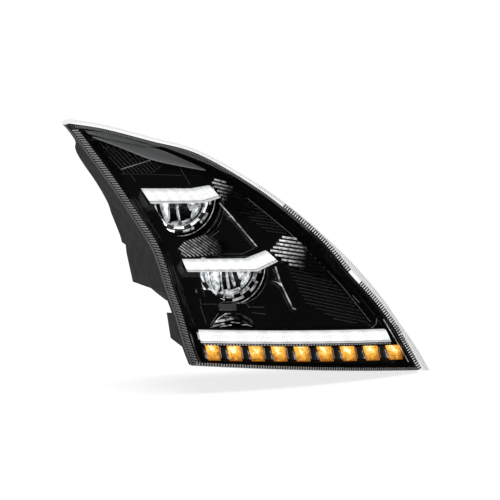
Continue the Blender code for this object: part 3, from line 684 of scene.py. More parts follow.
# Paler grey on raised edges of black parts: painted highlight.
GREY_PAINTED_HIGHLIGHT = plastic("dark grey painted edge highlight", (0.2, 0.2, 0.205), 0.3, grain=300.0)
GREY_BAND = plastic("grey painted band", (0.1, 0.1, 0.102), 0.34, grain=500.0)
UPPER_BAND = plastic("grey painted upper band", (0.24, 0.24, 0.243), 0.34, grain=500.0)
GREY_BLADE = plastic("grey painted blade", (0.3, 0.3, 0.305), 0.34, grain=800.0, edge=0.7)
# Pale grey: the own colour of the bar teeth, amber block rims and blade rim, and painted highlight on the
# bezel's raised lines.
PALE_RIM_AND_PAINTED_HIGHLIGHT = plastic("pale grey rim and painted highlight", (0.62, 0.62, 0.63), 0.3, grain=500.0)
SMOKED_CHROME = metal("smoked chrome", (0.06, 0.06, 0.063), 0.14, scale=260.0, depth=0.00004)
# Chrome with a painted glow as painted highlights; the lower reflector's copy is painted brighter than the
# upper's.
LOBE_CHROME_PAINTED_GLOW = {"upper": chrome_painted_glow("reflector chrome with painted glow", 0.3),
               "lower": chrome_painted_glow("reflector chrome with strong painted glow", 0.5)}
RING_CHROME_PAINTED_GLOW = chrome_painted_glow("ring chrome with painted glow", 0.3)
EDGE_CHROME_PAINTED_GLOW = chrome_painted_glow("edge chrome with painted glow", 0.25)
STREAK_CHROME_PAINTED_GLOW = chrome_painted_glow("streak chrome with painted glow", 0.34)
ALUMINIUM = metal("die-cast aluminium", (0.56, 0.57, 0.58), 0.42, scale=500.0, depth=0.00012)
STEEL = metal("zinc plated steel", (0.62, 0.6, 0.52), 0.3, scale=350.0, depth=0.00003,
              spread_by=0.25)
RUBBER = plastic("black rubber", (0.016, 0.016, 0.017), 0.75, grain=500.0, depth=0.00012)
BOARD_WHITE = plastic("white circuit board", (0.72, 0.73, 0.71), 0.45, grain=300.0)
BOARD_DARK = plastic("dark circuit board", (0.015, 0.018, 0.017), 0.35, grain=300.0)
PHOSPHOR = plastic("yellow led chip", (0.75, 0.55, 0.06), 0.4, grain=900.0)
BRASS = metal("brass terminals", (0.75, 0.6, 0.3), 0.25)
CLEAR = clear_plastic("clear lens", (0.985, 0.99, 0.992), (0.5, 0.51, 0.52), ior=1.3)
CLEAR_EDGE = frosted_plastic("clear lens flange", 0.1, 0.93)
CLEAR_RIM = frosted_plastic("clear lens rim", 0.2, 0.5)
CLEAR_RIB = frosted_plastic("clear flange rib", 0.3, 0.86)
KNURL = plastic("pale knurled edge", (0.5, 0.5, 0.505), 0.3, grain=900.0)
# Darker and paler copies of the knurl's grey: painted shade along the top edge, painted light along the
# bottom edge.
KNURL_PAINTED_SHADE = plastic("knurled edge in painted shade", (0.42, 0.42, 0.425), 0.35, grain=900.0)
KNURL_PAINTED_LIT = plastic("knurled edge painted lit", (0.85, 0.85, 0.86), 0.3, grain=900.0)
BAR_UPPER = lit_bar("lit upper bar", 46.0, 9.0, 1.12, dim=0.1)
BAR_LOWER = lit_bar("lit lower bar", 60.0, 12.0, 1.2, dim=0.05)
BAR_MAIN = lit_bar("lit main bar", 84.0, 9.0, 1.32, groove=0.12, dim=0.42)
AMBER = lit_amber("lit amber block")
GLASS = clear_plastic("projector glass", (0.96, 0.975, 0.985), (0.6, 0.61, 0.62), ior=1.3)


# ---------------------------------------------------------------- lens, knurled edge and seal

LENS_COLUMNS = [0.0, 0.01, 0.03] + [k / 30 for k in range(2, 29)] + [0.97, 0.99, 1.0]
LENS_ROWS = [k / 90 for k in range(91)]
FLANGE_COLUMNS = (0.0, 0.3, 0.7, 1.0)


def lens_columns(f):
    """Columns across the lens; the last few cover the flange that stands out past the body."""
    t = lerp(0.03, TIP - 0.03, f)
    (x0, z0), (x1, z1) = spline(LENS_OUTBOARD_EDGE, t), spline(OUTBOARD_EDGE, t)
    share = min((math.hypot(x1 - x0, z1 - z0) + 1.5) / row_width(t), 0.6)
    clear = [0.0, 0.01, 0.03] + [k / 28 for k in range(2, 28)]
    return [lerp(0.0, 1.0 - share, u) for u in clear] + [lerp(1.0 - share, 1.0, u) for u in FLANGE_COLUMNS]


def lens_grid(offset, inset):
    return [[on_lens(spread_point(u, f, inset, SLIM_SHARE, LENS_EDGES), offset)
             for u in lens_columns(f)] for f in LENS_ROWS]


def flange_kind(j, i):
    wide = len(lens_columns(0.5))
    return 1 if i >= wide - len(FLANGE_COLUMNS) or j >= len(LENS_ROWS) - 3 else 0


def make_outer_lens():
    shape = Shape()
    front, back = lens_grid(0.0, 1.4), lens_grid(LENS_THICKNESS, LENS_THICKNESS + 0.4)
    rim = rim_of(front)
    loops = []
    for offset, inset in ((0.3, 0.5), (1.2, 0.05), (LIP_DEPTH - 0.5, 0.05), (LIP_DEPTH, 0.5),
                          (LIP_DEPTH, 2.6), (LIP_DEPTH - 0.6, LENS_THICKNESS)):
        grid = lens_grid(offset, inset)
        loops.append([grid[j][i] for j, i in rim])
    shape.slab(front, back, loops, flange_kind,
               wall_kind=lambda j, i: 1 if flange_kind(j, i) else 2)
    shape.make("outer_lens_fine", [CLEAR, CLEAR_EDGE, CLEAR_RIM], "clear_polycarbonate",
               replaces=("outer_lens",), smooth_angle=50.0)


def seal_loop(inset, offset):
    grid = [[on_lens(spread_point(u, f, inset, SLIM_SHARE), offset) for u in LENS_COLUMNS]
            for f in LENS_ROWS]
    return [grid[j][i] for j, i in rim_of(grid)]


def make_seal():
    outer = LENS_THICKNESS + 1.3
    shape = Shape()
    loops = [seal_loop(outer, SEAL_FRONT), seal_loop(BORDER, SEAL_FRONT),
             seal_loop(BORDER, RIM_OFFSET - 1.3), seal_loop(outer, RIM_OFFSET - 1.3)]
    count = len(loops[0])
    verts = [p for loop in loops for p in loop]
    faces = []
    for k in range(4):
        near, far = k * count, (k + 1) % 4 * count
        for i in range(count):
            n = (i + 1) % count
            faces.append((near + i, near + n, far + n, far + i))
    shape.add(verts, faces)
    shape.make("lens_seal_fine", RUBBER, "black_rubber", replaces=("lens_seal",))


def edge_path(u, inset, share, start, end, edges=BODY_EDGES):
    return [body_point(u, lerp(start, end, k / 400), inset, share, edges) for k in range(401)]


def edge_ticks(shape, path, pitch, reach, slant, width, foot, crest):
    """Ridges standing off a path: reach is how far inward, slant how far they lean along it."""
    points = resample(path, pitch)
    for a, b in zip(points, points[1:]):
        dx, dz = b[0] - a[0], b[1] - a[1]
        length = math.hypot(dx, dz)
        dx, dz = dx / length, dz / length
        inner = (a[0] + dz * reach - dx * slant, a[1] - dx * reach - dz * slant)
        shape.bar(a, inner, width, foot, crest)


def make_knurls():
    """Small ridges moulded all along the lens where it is bonded to the housing; the run along the top
    edge is coloured darker as painted shade, and the run along the bottom edge paler as painted light.
    """
    foot, crest = SEAL_FRONT - 0.1, LENS_THICKNESS + 0.25
    shape = Shape()
    edge_ticks(shape, edge_path(0.0, 3.4, 1.0, 0.2, TIP - 0.4), 3.9, 8.0, 5.0, 2.0, foot, crest)
    shape.make("lens_edge_knurl", KNURL, "grey_plastic")
    shape = Shape()
    edge_ticks(shape, edge_path(1.0, 3.6, SLIM_SHARE, 6.6, TIP - 0.25), 2.6, -3.6, 1.2, 1.1, foot,
               crest)
    shape.make("lens_top_knurl", KNURL_PAINTED_SHADE, "grey_plastic")
    shape = Shape()
    low = [body_point(k / 400, 0.0, 4.4, SLIM_SHARE) for k in range(4, 399)]
    for a in resample(low, 4.2):
        shape.bar(a, (a[0] + 0.8, a[1] + 3.6), 2.0, foot, crest)
    shape.make("lens_side_knurl", KNURL_PAINTED_LIT, "grey_plastic")
    shape = Shape()
    for start, end, pitch, reach, width in ((0.05, 4.68, 4.1, 8.6, 2.9), (5.05, 7.4, 4.0, 8.4, 2.8)):
        edge_ticks(shape, edge_path(1.0, 6.0, SLIM_SHARE, start, end), pitch, reach, 2.0, width,
                   LENS_THICKNESS + 1.6, LENS_THICKNESS + 0.3)
    shape.make("lens_flange_teeth", GLOSS_BLACK, "gloss_black_plastic")


def make_flange_ribs():
    """Clear ribs across the part of the lens that stands out past the body."""
    shape = Shape()
    outer = resample(edge_path(1.0, 2.0, SLIM_SHARE, 0.1, 8.0, LENS_EDGES), 3.3)
    for a, b in zip(outer, outer[1:]):
        dx, dz = b[0] - a[0], b[1] - a[1]
        length = math.hypot(dx, dz)
        dx, dz = dx / length, dz / length
        reach = 7.5 if a[1] < 60.0 else 4.0
        inner = (a[0] - dz * reach, a[1] + dx * reach)
        shape.bar(a, inner, 1.1, LENS_THICKNESS + 1.2, LENS_THICKNESS + 0.2)
    shape.make("lens_flange_ribs", CLEAR_RIB, "clear_polycarbonate")


# ---------------------------------------------------------------- housing

# As in the CAD: station of the outer skin, of the inner skin, kind, and the place of the skin
# at the inboard edge, across the middle and at the outboard edge.
HOUSING_ROWS = (
    (0.0, 0.0, "shallow", 18, 42, 36), (1.0, 1.08, "shallow", 17, 52, 40),
    (1.18, 1.3, "shallow", 70, 56, 42), (2.0, 1.9, "shallow", 48, 56, 44),
    (2.06, 1.96, "shallow", 18, 56.5, 44), (3.0, 3.1, "shallow", 18, 57, 46),
    (3.06, 3.16, "deep", -46, PLATE_Y, -58), (4.0, 4.0, "deep", -44, PLATE_Y, -56),
    (4.65, 4.65, "deep", -54, PLATE_Y, -55), (4.75, 4.75, "deep", -35, PLATE_Y, -55),
    (5.4, 5.4, "deep", -49, PLATE_Y, -55), (6.0, 6.0, "deep", -65, PLATE_Y, -56),
    (6.5, 6.5, "deep", -79, PLATE_Y, -58), (7.5, 7.5, "deep", -74, PLATE_Y, -62),
    (8.3, 8.3, "deep", -63, -33, -68), (9.0, 9.0, "deep", -60, -44, -76),
    (9.5, 9.5, "deep", -71, -57, -82), (10.0, 10.0, "deep", -98, -72, -88),
    (11.0, 11.0, "deep", -93, -88, -92), (12.0, 12.0, "shallow", 18, 18, 18))
SHARP_ROWS = (0, 1, 2, 3, 4, 5, 6, 8, 9, 18, 19)
HOUSING_COLUMNS = (0.0, 0.035, 0.06, 0.13, 0.4, 0.6, 0.85, 0.96, 1.0)
DEEP_BLEND = (0.0, 0.35, 0.6, 1.0, 1.0, 1.0, 1.0, 0.45, 0.0)
SHALLOW_BLEND = (0.0, 0.18, 1.0, 1.0, 1.0, 1.0, 1.0, 0.4, 0.0)
FLOOR_DROP = 0.88


def soft_rows():
    """Row numbers, whole at the sharp rows and divided finely where the shell is rounded."""
    result = []
    for row in range(len(HOUSING_ROWS) - 1):
        parts = 1 if HOUSING_ROWS[row + 1][0] - HOUSING_ROWS[row][0] < 0.3 else 6
        result += [row + k / parts for k in range(parts)]
    return result + [len(HOUSING_ROWS) - 1]


def row_values(r):
    """Values of the housing table at a row number between whole rows."""
    first = max(s for s in SHARP_ROWS if s <= min(r, SHARP_ROWS[-2]))
    last = min(s for s in SHARP_ROWS if s > first)
    span = HOUSING_ROWS[first:last + 1]
    numbers = [(row[0], row[1], row[3], row[4], row[5]) for row in span]
    values = list(spline(numbers, r - first))
    kinds = HOUSING_ROWS[first][2], HOUSING_ROWS[last][2]
    return values, kinds, (r - first) / (last - first)


def skin_place(kind, c, edge, middle, x, z):
    """Place of the skin: a depth in the tub, or a distance behind the lens around it."""
    table = DEEP_BLEND if kind == "deep" else SHALLOW_BLEND
    share = min(max(spline([(v,) for v in table], c)[0], 0.0), 1.0)
    at = lerp(edge, middle, share)
    return at if kind == "deep" else lens_y(x, z) + at


def housing_point(r, c, inset, thickness, inner):
    (outer_t, inner_t, inboard, middle, outboard), kinds, _ = row_values(r)
    u = min(max(spline([(v,) for v in HOUSING_COLUMNS], c)[0], 0.0), 1.0)
    t = inner_t if inner else outer_t
    inside = min(max(1.0 - max(5.0 - r, r - 6.0, 0.0), 0.0), 1.0)
    t -= FLOOR_DROP * inside * smooth((u - 0.05) / 0.1)
    x, z = body_point(u, t, inset)
    if kinds[0] == kinds[1]:
        y = skin_place(kinds[0], c, inboard if u < 0.5 else outboard, middle, x, z)
    else:
        y = mixed_row(r, c, x, z, u)
    return x, y - thickness, z


def mixed_row(r, c, x, z, u):
    """Place between a row given by depth and one given behind the lens surface."""
    row = int(r) if r < len(HOUSING_ROWS) - 1 else len(HOUSING_ROWS) - 2
    ends = []
    for _, _, kind, inboard, middle, outboard in HOUSING_ROWS[row:row + 2]:
        ends.append(skin_place(kind, c, inboard if u < 0.5 else outboard, middle, x, z))
    return lerp(ends[0], ends[1], r - row)


def make_housing():
    columns = [k / 4 for k in range(4 * (len(HOUSING_COLUMNS) - 1) + 1)]
    rows = soft_rows()

    def grid(inset, thickness, inner, offset=None):
        result = []
        for r in rows:
            line = []
            for c in columns:
                x, y, z = housing_point(r, c, inset, thickness, inner)
                line.append((x, y, z) if offset is None else on_lens((x, z), offset))
            result.append(line)
        return result

    outer, inner = grid(0.4, 0.0, False), grid(WALL + 0.4, WALL, True)
    rim = rim_of(outer)
    loops = []
    for inset, is_inner, offset in ((0.4, False, RIM_OFFSET + 1.0), (0.4, False, RIM_OFFSET),
                                    (WALL + 0.4, True, RIM_OFFSET)):
        edge = grid(inset, 0.0, is_inner, offset)
        loops.append([edge[j][i] for j, i in rim])
    shape = Shape()
    shape.slab(outer, inner, loops)
    cutters = []
    for name, radius, facets in (("upper_access_cap", 31.0, 96), ("lower_access_cap", 31.0, 96),
                                 ("aim_ball_stud", 7.0, 32)):
        x, _, z = node_centre(name)
        cutter = Shape()
        cutter.prism(arc((x, z), radius, 0.0, 360.0, facets)[:-1], PLATE_Y - 10, PLATE_Y + 10)
        cutters.append(cutter)
    shape.make("housing_fine", SATIN_BLACK, "satin_black_plastic", replaces=("housing",),
               smooth_angle=38.0, cutters=cutters)


# ---------------------------------------------------------------- bezel

def bezel_offset(u, t):
    width = row_width(t)
    dips = (u * width / 18.0, (1.0 - u) * width / 12.0,
            (t - 0.19) * BOTTOM_PITCH / 7.0, (TIP - 1.0 - t) * TIP_PITCH / 14.0)
    return lerp(RIM_OFFSET - 0.7, BEZEL_OFFSET, smooth(min(dips)))


def make_bezel():
    stations = [0.19 + 0.09 * k for k in range(4)] + [lerp(0.6, 9.6, k / 60) for k in range(61)]
    stations += [9.8, 10.0, 10.2, 10.4, 10.6, 10.8, 10.95]
    shape = Shape()
    front, back = [], []
    for t in stations:
        width = row_width(t)
        near = [min(k * 2.25 / width, 0.034 * k) for k in range(9)]
        far = [1.0 - min(k * 2.0 / width, 0.03 * k) for k in range(7)]
        steps = near + [lerp(near[-1], far[-1], k / 24) for k in range(1, 24)] + far[::-1]
        line = [(body_point(u, t, BORDER + 0.7, BEZEL_SHARE), bezel_offset(u, t)) for u in steps]
        front.append([on_lens(point, offset) for point, offset in line])
        back.append([on_lens(point, offset + BEZEL_THICKNESS) for point, offset in line])
    shape.slab(front, back)
    upper = [(-222, 131), (-207, 97)] + arc((-168, 139), 57, 232, 358, 40)
    upper += [(-114, 158), (-214, 158)]
    lower = [(-168, 37), (-163, 10)] + arc((-108, 43), 55, 218, 350, 40) + [(-60, 56), (-166, 56)]
    bowl = arc((-121, -62), 39, 180, 0, 32)
    window = [(-185, -41.5), (-180, -90), (187, -119.5), (174.5, -89), (155, -60.5)]
    cutters = []
    for outline in (upper, lower, bowl, window):
        cutter = Shape()
        cutter.prism(outline, -300, -60)
        cutters.append(cutter)
    shape.make("inner_bezel_fine", GLOSS_BLACK, "gloss_black_plastic", replaces=("inner_bezel",),
               smooth_angle=35.0, cutters=cutters)


def chain(shape, points, width, low, high):
    """Ridge along a run of (x, z) points."""
    for a, b in zip(points, points[1:]):
        shape.ridge(a, b, width, low, high)


def make_bezel_lines():
    """Fine raised edges on the bezel: folds, steps and panel borders in paler grey, and a few in chrome
    with a painted glow, all painted highlights.
    """
    shape = Shape()
    face = BEZEL_OFFSET
    folds = (
        ((-208, 47), (-194, 10)), ((-211, 52), (-198, 15), (-191, -12), (-183, -41)),
        ((-167, 13), (-163, 8), (-162, 0)), ((-170, -2), (-170, -10), (-145, -11)),
        ((-171, -11), (-164, -39)), ((-95, -17), (-68, -19)), ((-90, -25), (-67, -29)),
        ((-266, 178), (-216, 177), (-172, 175)), ((-251, 178), (-246, 168)),
        ((-216, 178), (-200, 192)), ((-174, 189), (-161, 161)), ((-126, 93), (-139, 86)),
        ((-142, 58), (-122, 60), (-94, 59), (-71, 67)))
    for fold in folds:
        chain(shape, fold, 0.8, face + 0.4, face - 0.5)
    shape.make("bezel_fold_lines", GREY_PAINTED_HIGHLIGHT, "grey_plastic")
    shape = Shape()
    chain(shape, ((-71, 140), (-7, 87), (74, 6), (122, -52)), 1.0, face + 0.4, face - 0.8)
    shape.ridge((-265, 185), (-218, 198), 1.6, face - 1.0, face - 5.2)
    for corner in (((91, -10), (103, -22)), ((133, -48), (130, -56), (120, -60))):
        chain(shape, corner, 0.8, 22.0, 19.0)
    shape.make("bezel_painted_highlight_lines", PALE_RIM_AND_PAINTED_HIGHLIGHT, "grey_plastic")
    shape = Shape()
    shape.ridge((-175, 12), (-174, 6.5), 2.6, face + 0.3, face - 1.2)
    shape.ridge((140.5, -48), (183, -115.5), 0.8, 9.0, 6.4)
    shape.ridge((158, -54), (200, -116.5), 1.5, 8.0, LENS_THICKNESS + 0.3)
    shape.make("bezel_painted_light_spot", EDGE_CHROME_PAINTED_GLOW, "chrome")


def make_rib_panels():
    """Gloss black panels with fine raised ribs."""
    shape = Shape()
    shape.panel(polyline([(-264, 179), (-197, 178.5)], 6), polyline([(-285, 210), (-221, 189)], 6),
                24.6, 2.0, kind=1)
    under_blade = [(-296, 226), (-264, 179), (-216, 178), (-201, 191), (-219, 197), (-262, 215)]
    for a, b in hatch(under_blade, -50.0, 5.2, 0.6):
        shape.ridge(a, b, 1.3, 25.0, 23.0)
    shape.make("upper_rib_panel_fine", [TEXTURED_BLACK, GLOSS_BLACK], "gloss_black_plastic",
               replaces=("upper_rib_panel",))
    shape = Shape()
    outboard = [(-22, 40), (48, 20), (72, 2), (121, -56), (60, -47), (4, -16)]
    high = [(-92, 154), (-64, 133), (-8, 86), (-44, 88), (-76, 112), (-100, 126)]
    for polygon, direction, pitch in ((outboard, -13.0, 4.9), (high, -8.0, 4.4)):
        for a, b in hatch(polygon, direction, pitch, 0.8):
            shape.ridge(a, b, 1.6, BEZEL_OFFSET + 0.3, BEZEL_OFFSET - 1.3)
    shape.make("outboard_rib_panels", TEXTURED_BLACK, "gloss_black_plastic")


def make_blade():
    shape = Shape()
    bottom = curve([(-302, 232.5), (-262, 217), (-220, 200), (-172, 189), (-136, 182.5)], 49)
    top = curve([(-301, 233.5), (-255, 227), (-203, 213.5), (-162, 196), (-135.5, 183.5)], 49)
    shape.panel(bottom, top, 17.2, 1.8, rows=8,
                relief=lambda u, v: 1.2 * math.sin(math.pi * min(v * 1.15 + 0.05, 1.0)))
    shape.make("upper_blade_fine", GREY_BLADE, "grey_plastic", replaces=("upper_blade_trim",))
    shape = Shape()
    for a, b in zip(bottom, bottom[1:]):
        shape.bar((a[0] - 0.3, a[1] - 0.3), b, 1.5, 18.0, 16.0)
    shape.make("upper_blade_rim", PALE_RIM_AND_PAINTED_HIGHLIGHT, "grey_plastic")
    shape = Shape()
    low = curve([(-309, 237), (-272, 228.5), (-231, 220), (-205, 217.5)], 33)
    high = curve([(-314, 242.5), (-267, 236.5), (-229, 227), (-200, 219.5)], 33)
    shape.panel(low, high, 8.2, 1.6, rows=6, relief=lambda u, v: 1.6 * v)
    low = curve([(-202, 218.5), (-164, 204.5), (-132, 191.5), (-96, 173.5)], 33)
    high = curve([(-200, 221), (-166, 209.5), (-132, 195), (-95, 175.5)], 33)
    shape.panel(low, high, 8.2, 1.6, rows=4, relief=lambda u, v: 1.2 * v)
    shape.make("upper_edge_band", UPPER_BAND, "grey_plastic")


# ---------------------------------------------------------------- chrome trims and flutes

def make_accents():
    # Chrome strips and their flares, given a painted glow as painted highlights.
    for name, path, flare in (
            ("accent_strip_upper", ((-119.5, 134), (-104, 115), (-68.5, 69.5)),
             ((-109.5, 113.5), (-102.5, 114.5), (-98.5, 107.5), (-102.5, 112.5))),
            ("accent_strip_lower", ((-41.5, 39), (-36.5, 15.5), (-20.5, -22.5), (-16, -24)),
             ((-54, 19.5), (-39, 16), (-34.5, 9), (-43, 16.5)))):
        shape = Shape()
        chain(shape, path, 2.0, 24.5, 21.2)
        verts = [on_lens(point, offset) for offset in (21.6, 24.5) for point in flare]
        faces = [(0, 1, 2, 3), (7, 6, 5, 4)] + [(k, (k + 1) % 4, (k + 1) % 4 + 4, k + 4)
                                                for k in range(4)]
        shape.add(verts, faces)
        shape.make(name + "_fine", STREAK_CHROME_PAINTED_GLOW, "chrome", replaces=(name,), smooth_angle=50.0)


FLUTE_FOOT = 22.6


def flute_panel(name, replaced, material, polygon, direction, pitch, depth, base):
    """Panel with rounded flutes across a convex outline, on a strip between two rails."""
    shape = Shape()
    shape.panel(*(polyline(rail, 5) for rail in base), FLUTE_FOOT, 2.0)
    steps = 6
    for a, b in hatch(polygon, direction, pitch, 0.3):
        points = polyline([a, b], steps)
        for k, (p, q) in enumerate(zip(points, points[1:])):
            lift = depth * (0.55 + 0.45 * math.sin(math.pi * (k + 0.5) / steps))
            shape.bar(p, q, pitch / 2, FLUTE_FOOT + 0.2, FLUTE_FOOT - lift, 1)
    shape.make(name, (SMOKED_CHROME, material), "chrome", replaces=(replaced,),
               smooth_angle=50.0)


def make_flutes():
    # Flute chrome painted from bright to near black as painted shade, with painted glints.
    flute_panel("center_flute_fine", "center_flute_shell",
                chrome_painted_shade_and_glints("centre flute chrome", (1.0, 0.0, 0.25), -0.17, -0.112, 0.5),
                [(-196, 70), (-184, 80), (-151, 88.5), (-118, 79), (-113, 66), (-131, 62),
                 (-160, 58.5), (-188, 58)], -36.0, 3.9, 2.6,
                ([(-193, 66), (-163, 60), (-114, 64)], [(-190, 74), (-150, 86.5), (-117, 77)]))
    flute_panel("side_flute_upper_fine", "side_flute_upper",
                chrome_painted_shade_and_glints("upper side flute chrome", (0.75, 0.0, -0.66), -0.197, -0.172, 0.45),
                [(-127, 165), (-118, 172), (-100, 162), (-84, 147), (-58, 118), (-80, 112),
                 (-102, 124), (-114, 139)], -14.0, 5.2, 2.4,
                ([(-112, 142), (-100, 125), (-60, 116)], [(-122, 168), (-98, 158), (-62, 124)]))
    flute_panel("side_flute_lower_fine", "side_flute_lower",
                chrome_painted_shade_and_glints("lower side flute chrome", (1.0, 0.0, -0.5), -0.062, -0.012, 0.85),
                [(-47, 63), (-20, 84), (2, 78), (56, 28), (48, 16), (-10, 36), (-38, 54)],
                -9.0, 5.6, 2.6,
                ([(-40, 58), (-8, 38), (44, 16)], [(-24, 80), (2, 75), (50, 28)]))


# ---------------------------------------------------------------- light bars and turn signal

BARS = {
    "upper": (((-228, 135), (-147, 135), (-119, 142)), ((-240, 157), (-163, 156), (-134, 160)),
              BAR_UPPER),
    "lower": (((-186, 37), (-76, 34), (-39, 47)), ((-192, 55), (-91, 53), (-56, 63)), BAR_LOWER),
    "main": (((-177, -63.3), (154, -83)), ((-179, -45.4), (145, -64)), BAR_MAIN),
}


def bar_profile(v):
    """Cross-section of a light bar, bottom to top: rim, groove, crowned face."""
    if v < 0.12:
        return 1.3 * smooth(v / 0.05)
    if v < 0.17:
        return 0.7
    return 0.7 + 1.1 * math.sin(math.pi * (v - 0.17) / 0.83) ** 0.6


def make_bars():
    for name, (bottom, top, material) in BARS.items():
        ribs = 84 if name == "main" else 0
        per_side = 420 if name == "main" else 40
        low, high = polyline(list(bottom), per_side), polyline(list(top), per_side)

        def relief(u, v, ribs=ribs):
            fine = 0.0
            if ribs and 0.2 < v < 0.85:
                fine = 0.3 * math.sin(2.0 * math.pi * ribs * u)
            return bar_profile(v) + fine

        shape = Shape()
        shape.panel(low, high, 14.6, 7.4, rows=24, relief=relief)
        shape.make("drl_bar_%s_lit" % name, material, "white_diffuser",
                   replaces=("drl_bar_" + name,), smooth_angle=50.0)
    teeth = Shape()
    for x, z in resample([(-174, -66), (152, -85.5)], 5.0):
        teeth.bar((x, z), (x + 2.6, z - 0.15), 2.0, 17.0, 14.8)
    teeth.make("drl_bar_main_teeth", PALE_RIM_AND_PAINTED_HIGHLIGHT, "white_diffuser")


CELLS = 9
STRIP_BOTTOM = ((-175, -88.5), (176, -112.5))
STRIP_TOP = ((-178, -66.5), (169.4, -89.3))
CELL_FOOT = 17.4
CELL_SHARE = 0.62


def cell_station(cell):
    """Place of a cell along the strip; the cells grow a little toward the outboard end."""
    return 0.017 + 0.0925 * cell + 0.0026 * cell * cell


def strip_point(s, v):
    low = tuple(lerp(a, b, s) for a, b in zip(*STRIP_BOTTOM))
    high = tuple(lerp(a, b, s) for a, b in zip(*STRIP_TOP))
    return tuple(lerp(a, b, v) for a, b in zip(low, high))


def make_turn_signal():
    """Nine lit amber blocks in a gloss black frame, each with a clear rim and a reflector whose chrome has
    a painted glow, painted glints.
    """
    frame_shape, rims, mirrors = Shape(), Shape(), Shape()
    for cell in range(CELLS):
        low = [strip_point(cell_station(cell + (CELL_SHARE - 0.05) * k / 14), 0.02)
               for k in range(15)]
        high = [strip_point(cell_station(cell + (CELL_SHARE + 0.02) * k / 14), 0.98)
                for k in range(15)]

        def crown(u, v, cell=cell):
            edge = min(u, 1.0 - u, v, 1.0 - v)
            return 2.6 * smooth(edge / 0.16) + 0.25 * math.sin(19.0 * u + cell) * math.sin(17.0 * v)

        block = Shape()
        block.panel(low, high, CELL_FOOT, 1.2, rows=12, relief=crown)
        block.make("turn_block_%d" % (cell + 1), AMBER, "amber_diffuser", smooth_angle=60.0,
                   replaces=("turn_lens_strip",) if cell == 0 else ())
        rims.bar(strip_point(cell_station(cell + CELL_SHARE), 0.2),
                 strip_point(cell_station(cell + CELL_SHARE + 0.05), 0.9), 1.0, CELL_FOOT,
                 CELL_FOOT - 2.4)
        for gap, low_end, high_end, width in ((0.03, 0.1, 0.62, 0.5), (0.075, 0.16, 0.7, 0.9)):
            left = cell_station(cell - gap)
            mirrors.bar(strip_point(left, low_end), strip_point(left, high_end), width,
                        CELL_FOOT + 0.4, CELL_FOOT - 0.8)
    rims.make("turn_block_rims", PALE_RIM_AND_PAINTED_HIGHLIGHT, "white_diffuser")
    mirrors.make("turn_side_mirrors", STREAK_CHROME_PAINTED_GLOW, "chrome")
    top = [strip_point(k / 40, 1.0) for k in range(41)]
    shelf_top = [(x, z + 1.6) for x, z in top]
    frame_shape.panel(top, shelf_top, CELL_FOOT, 3.0)
    frame_shape.make("turn_top_rail", GLOSS_BLACK, "gloss_black_plastic")
    tray = Shape()
    tray.panel(polyline([(-174, -89), (182, -118.5)], 40),
               polyline([(-181, -42.5), (150.5, -61.5)], 40), 24.5, 3.0, rows=8)
    tray.make("turn_tray_fine", GLOSS_BLACK, "gloss_black_plastic", replaces=("turn_tray",))


# ---------------------------------------------------------------- projectors

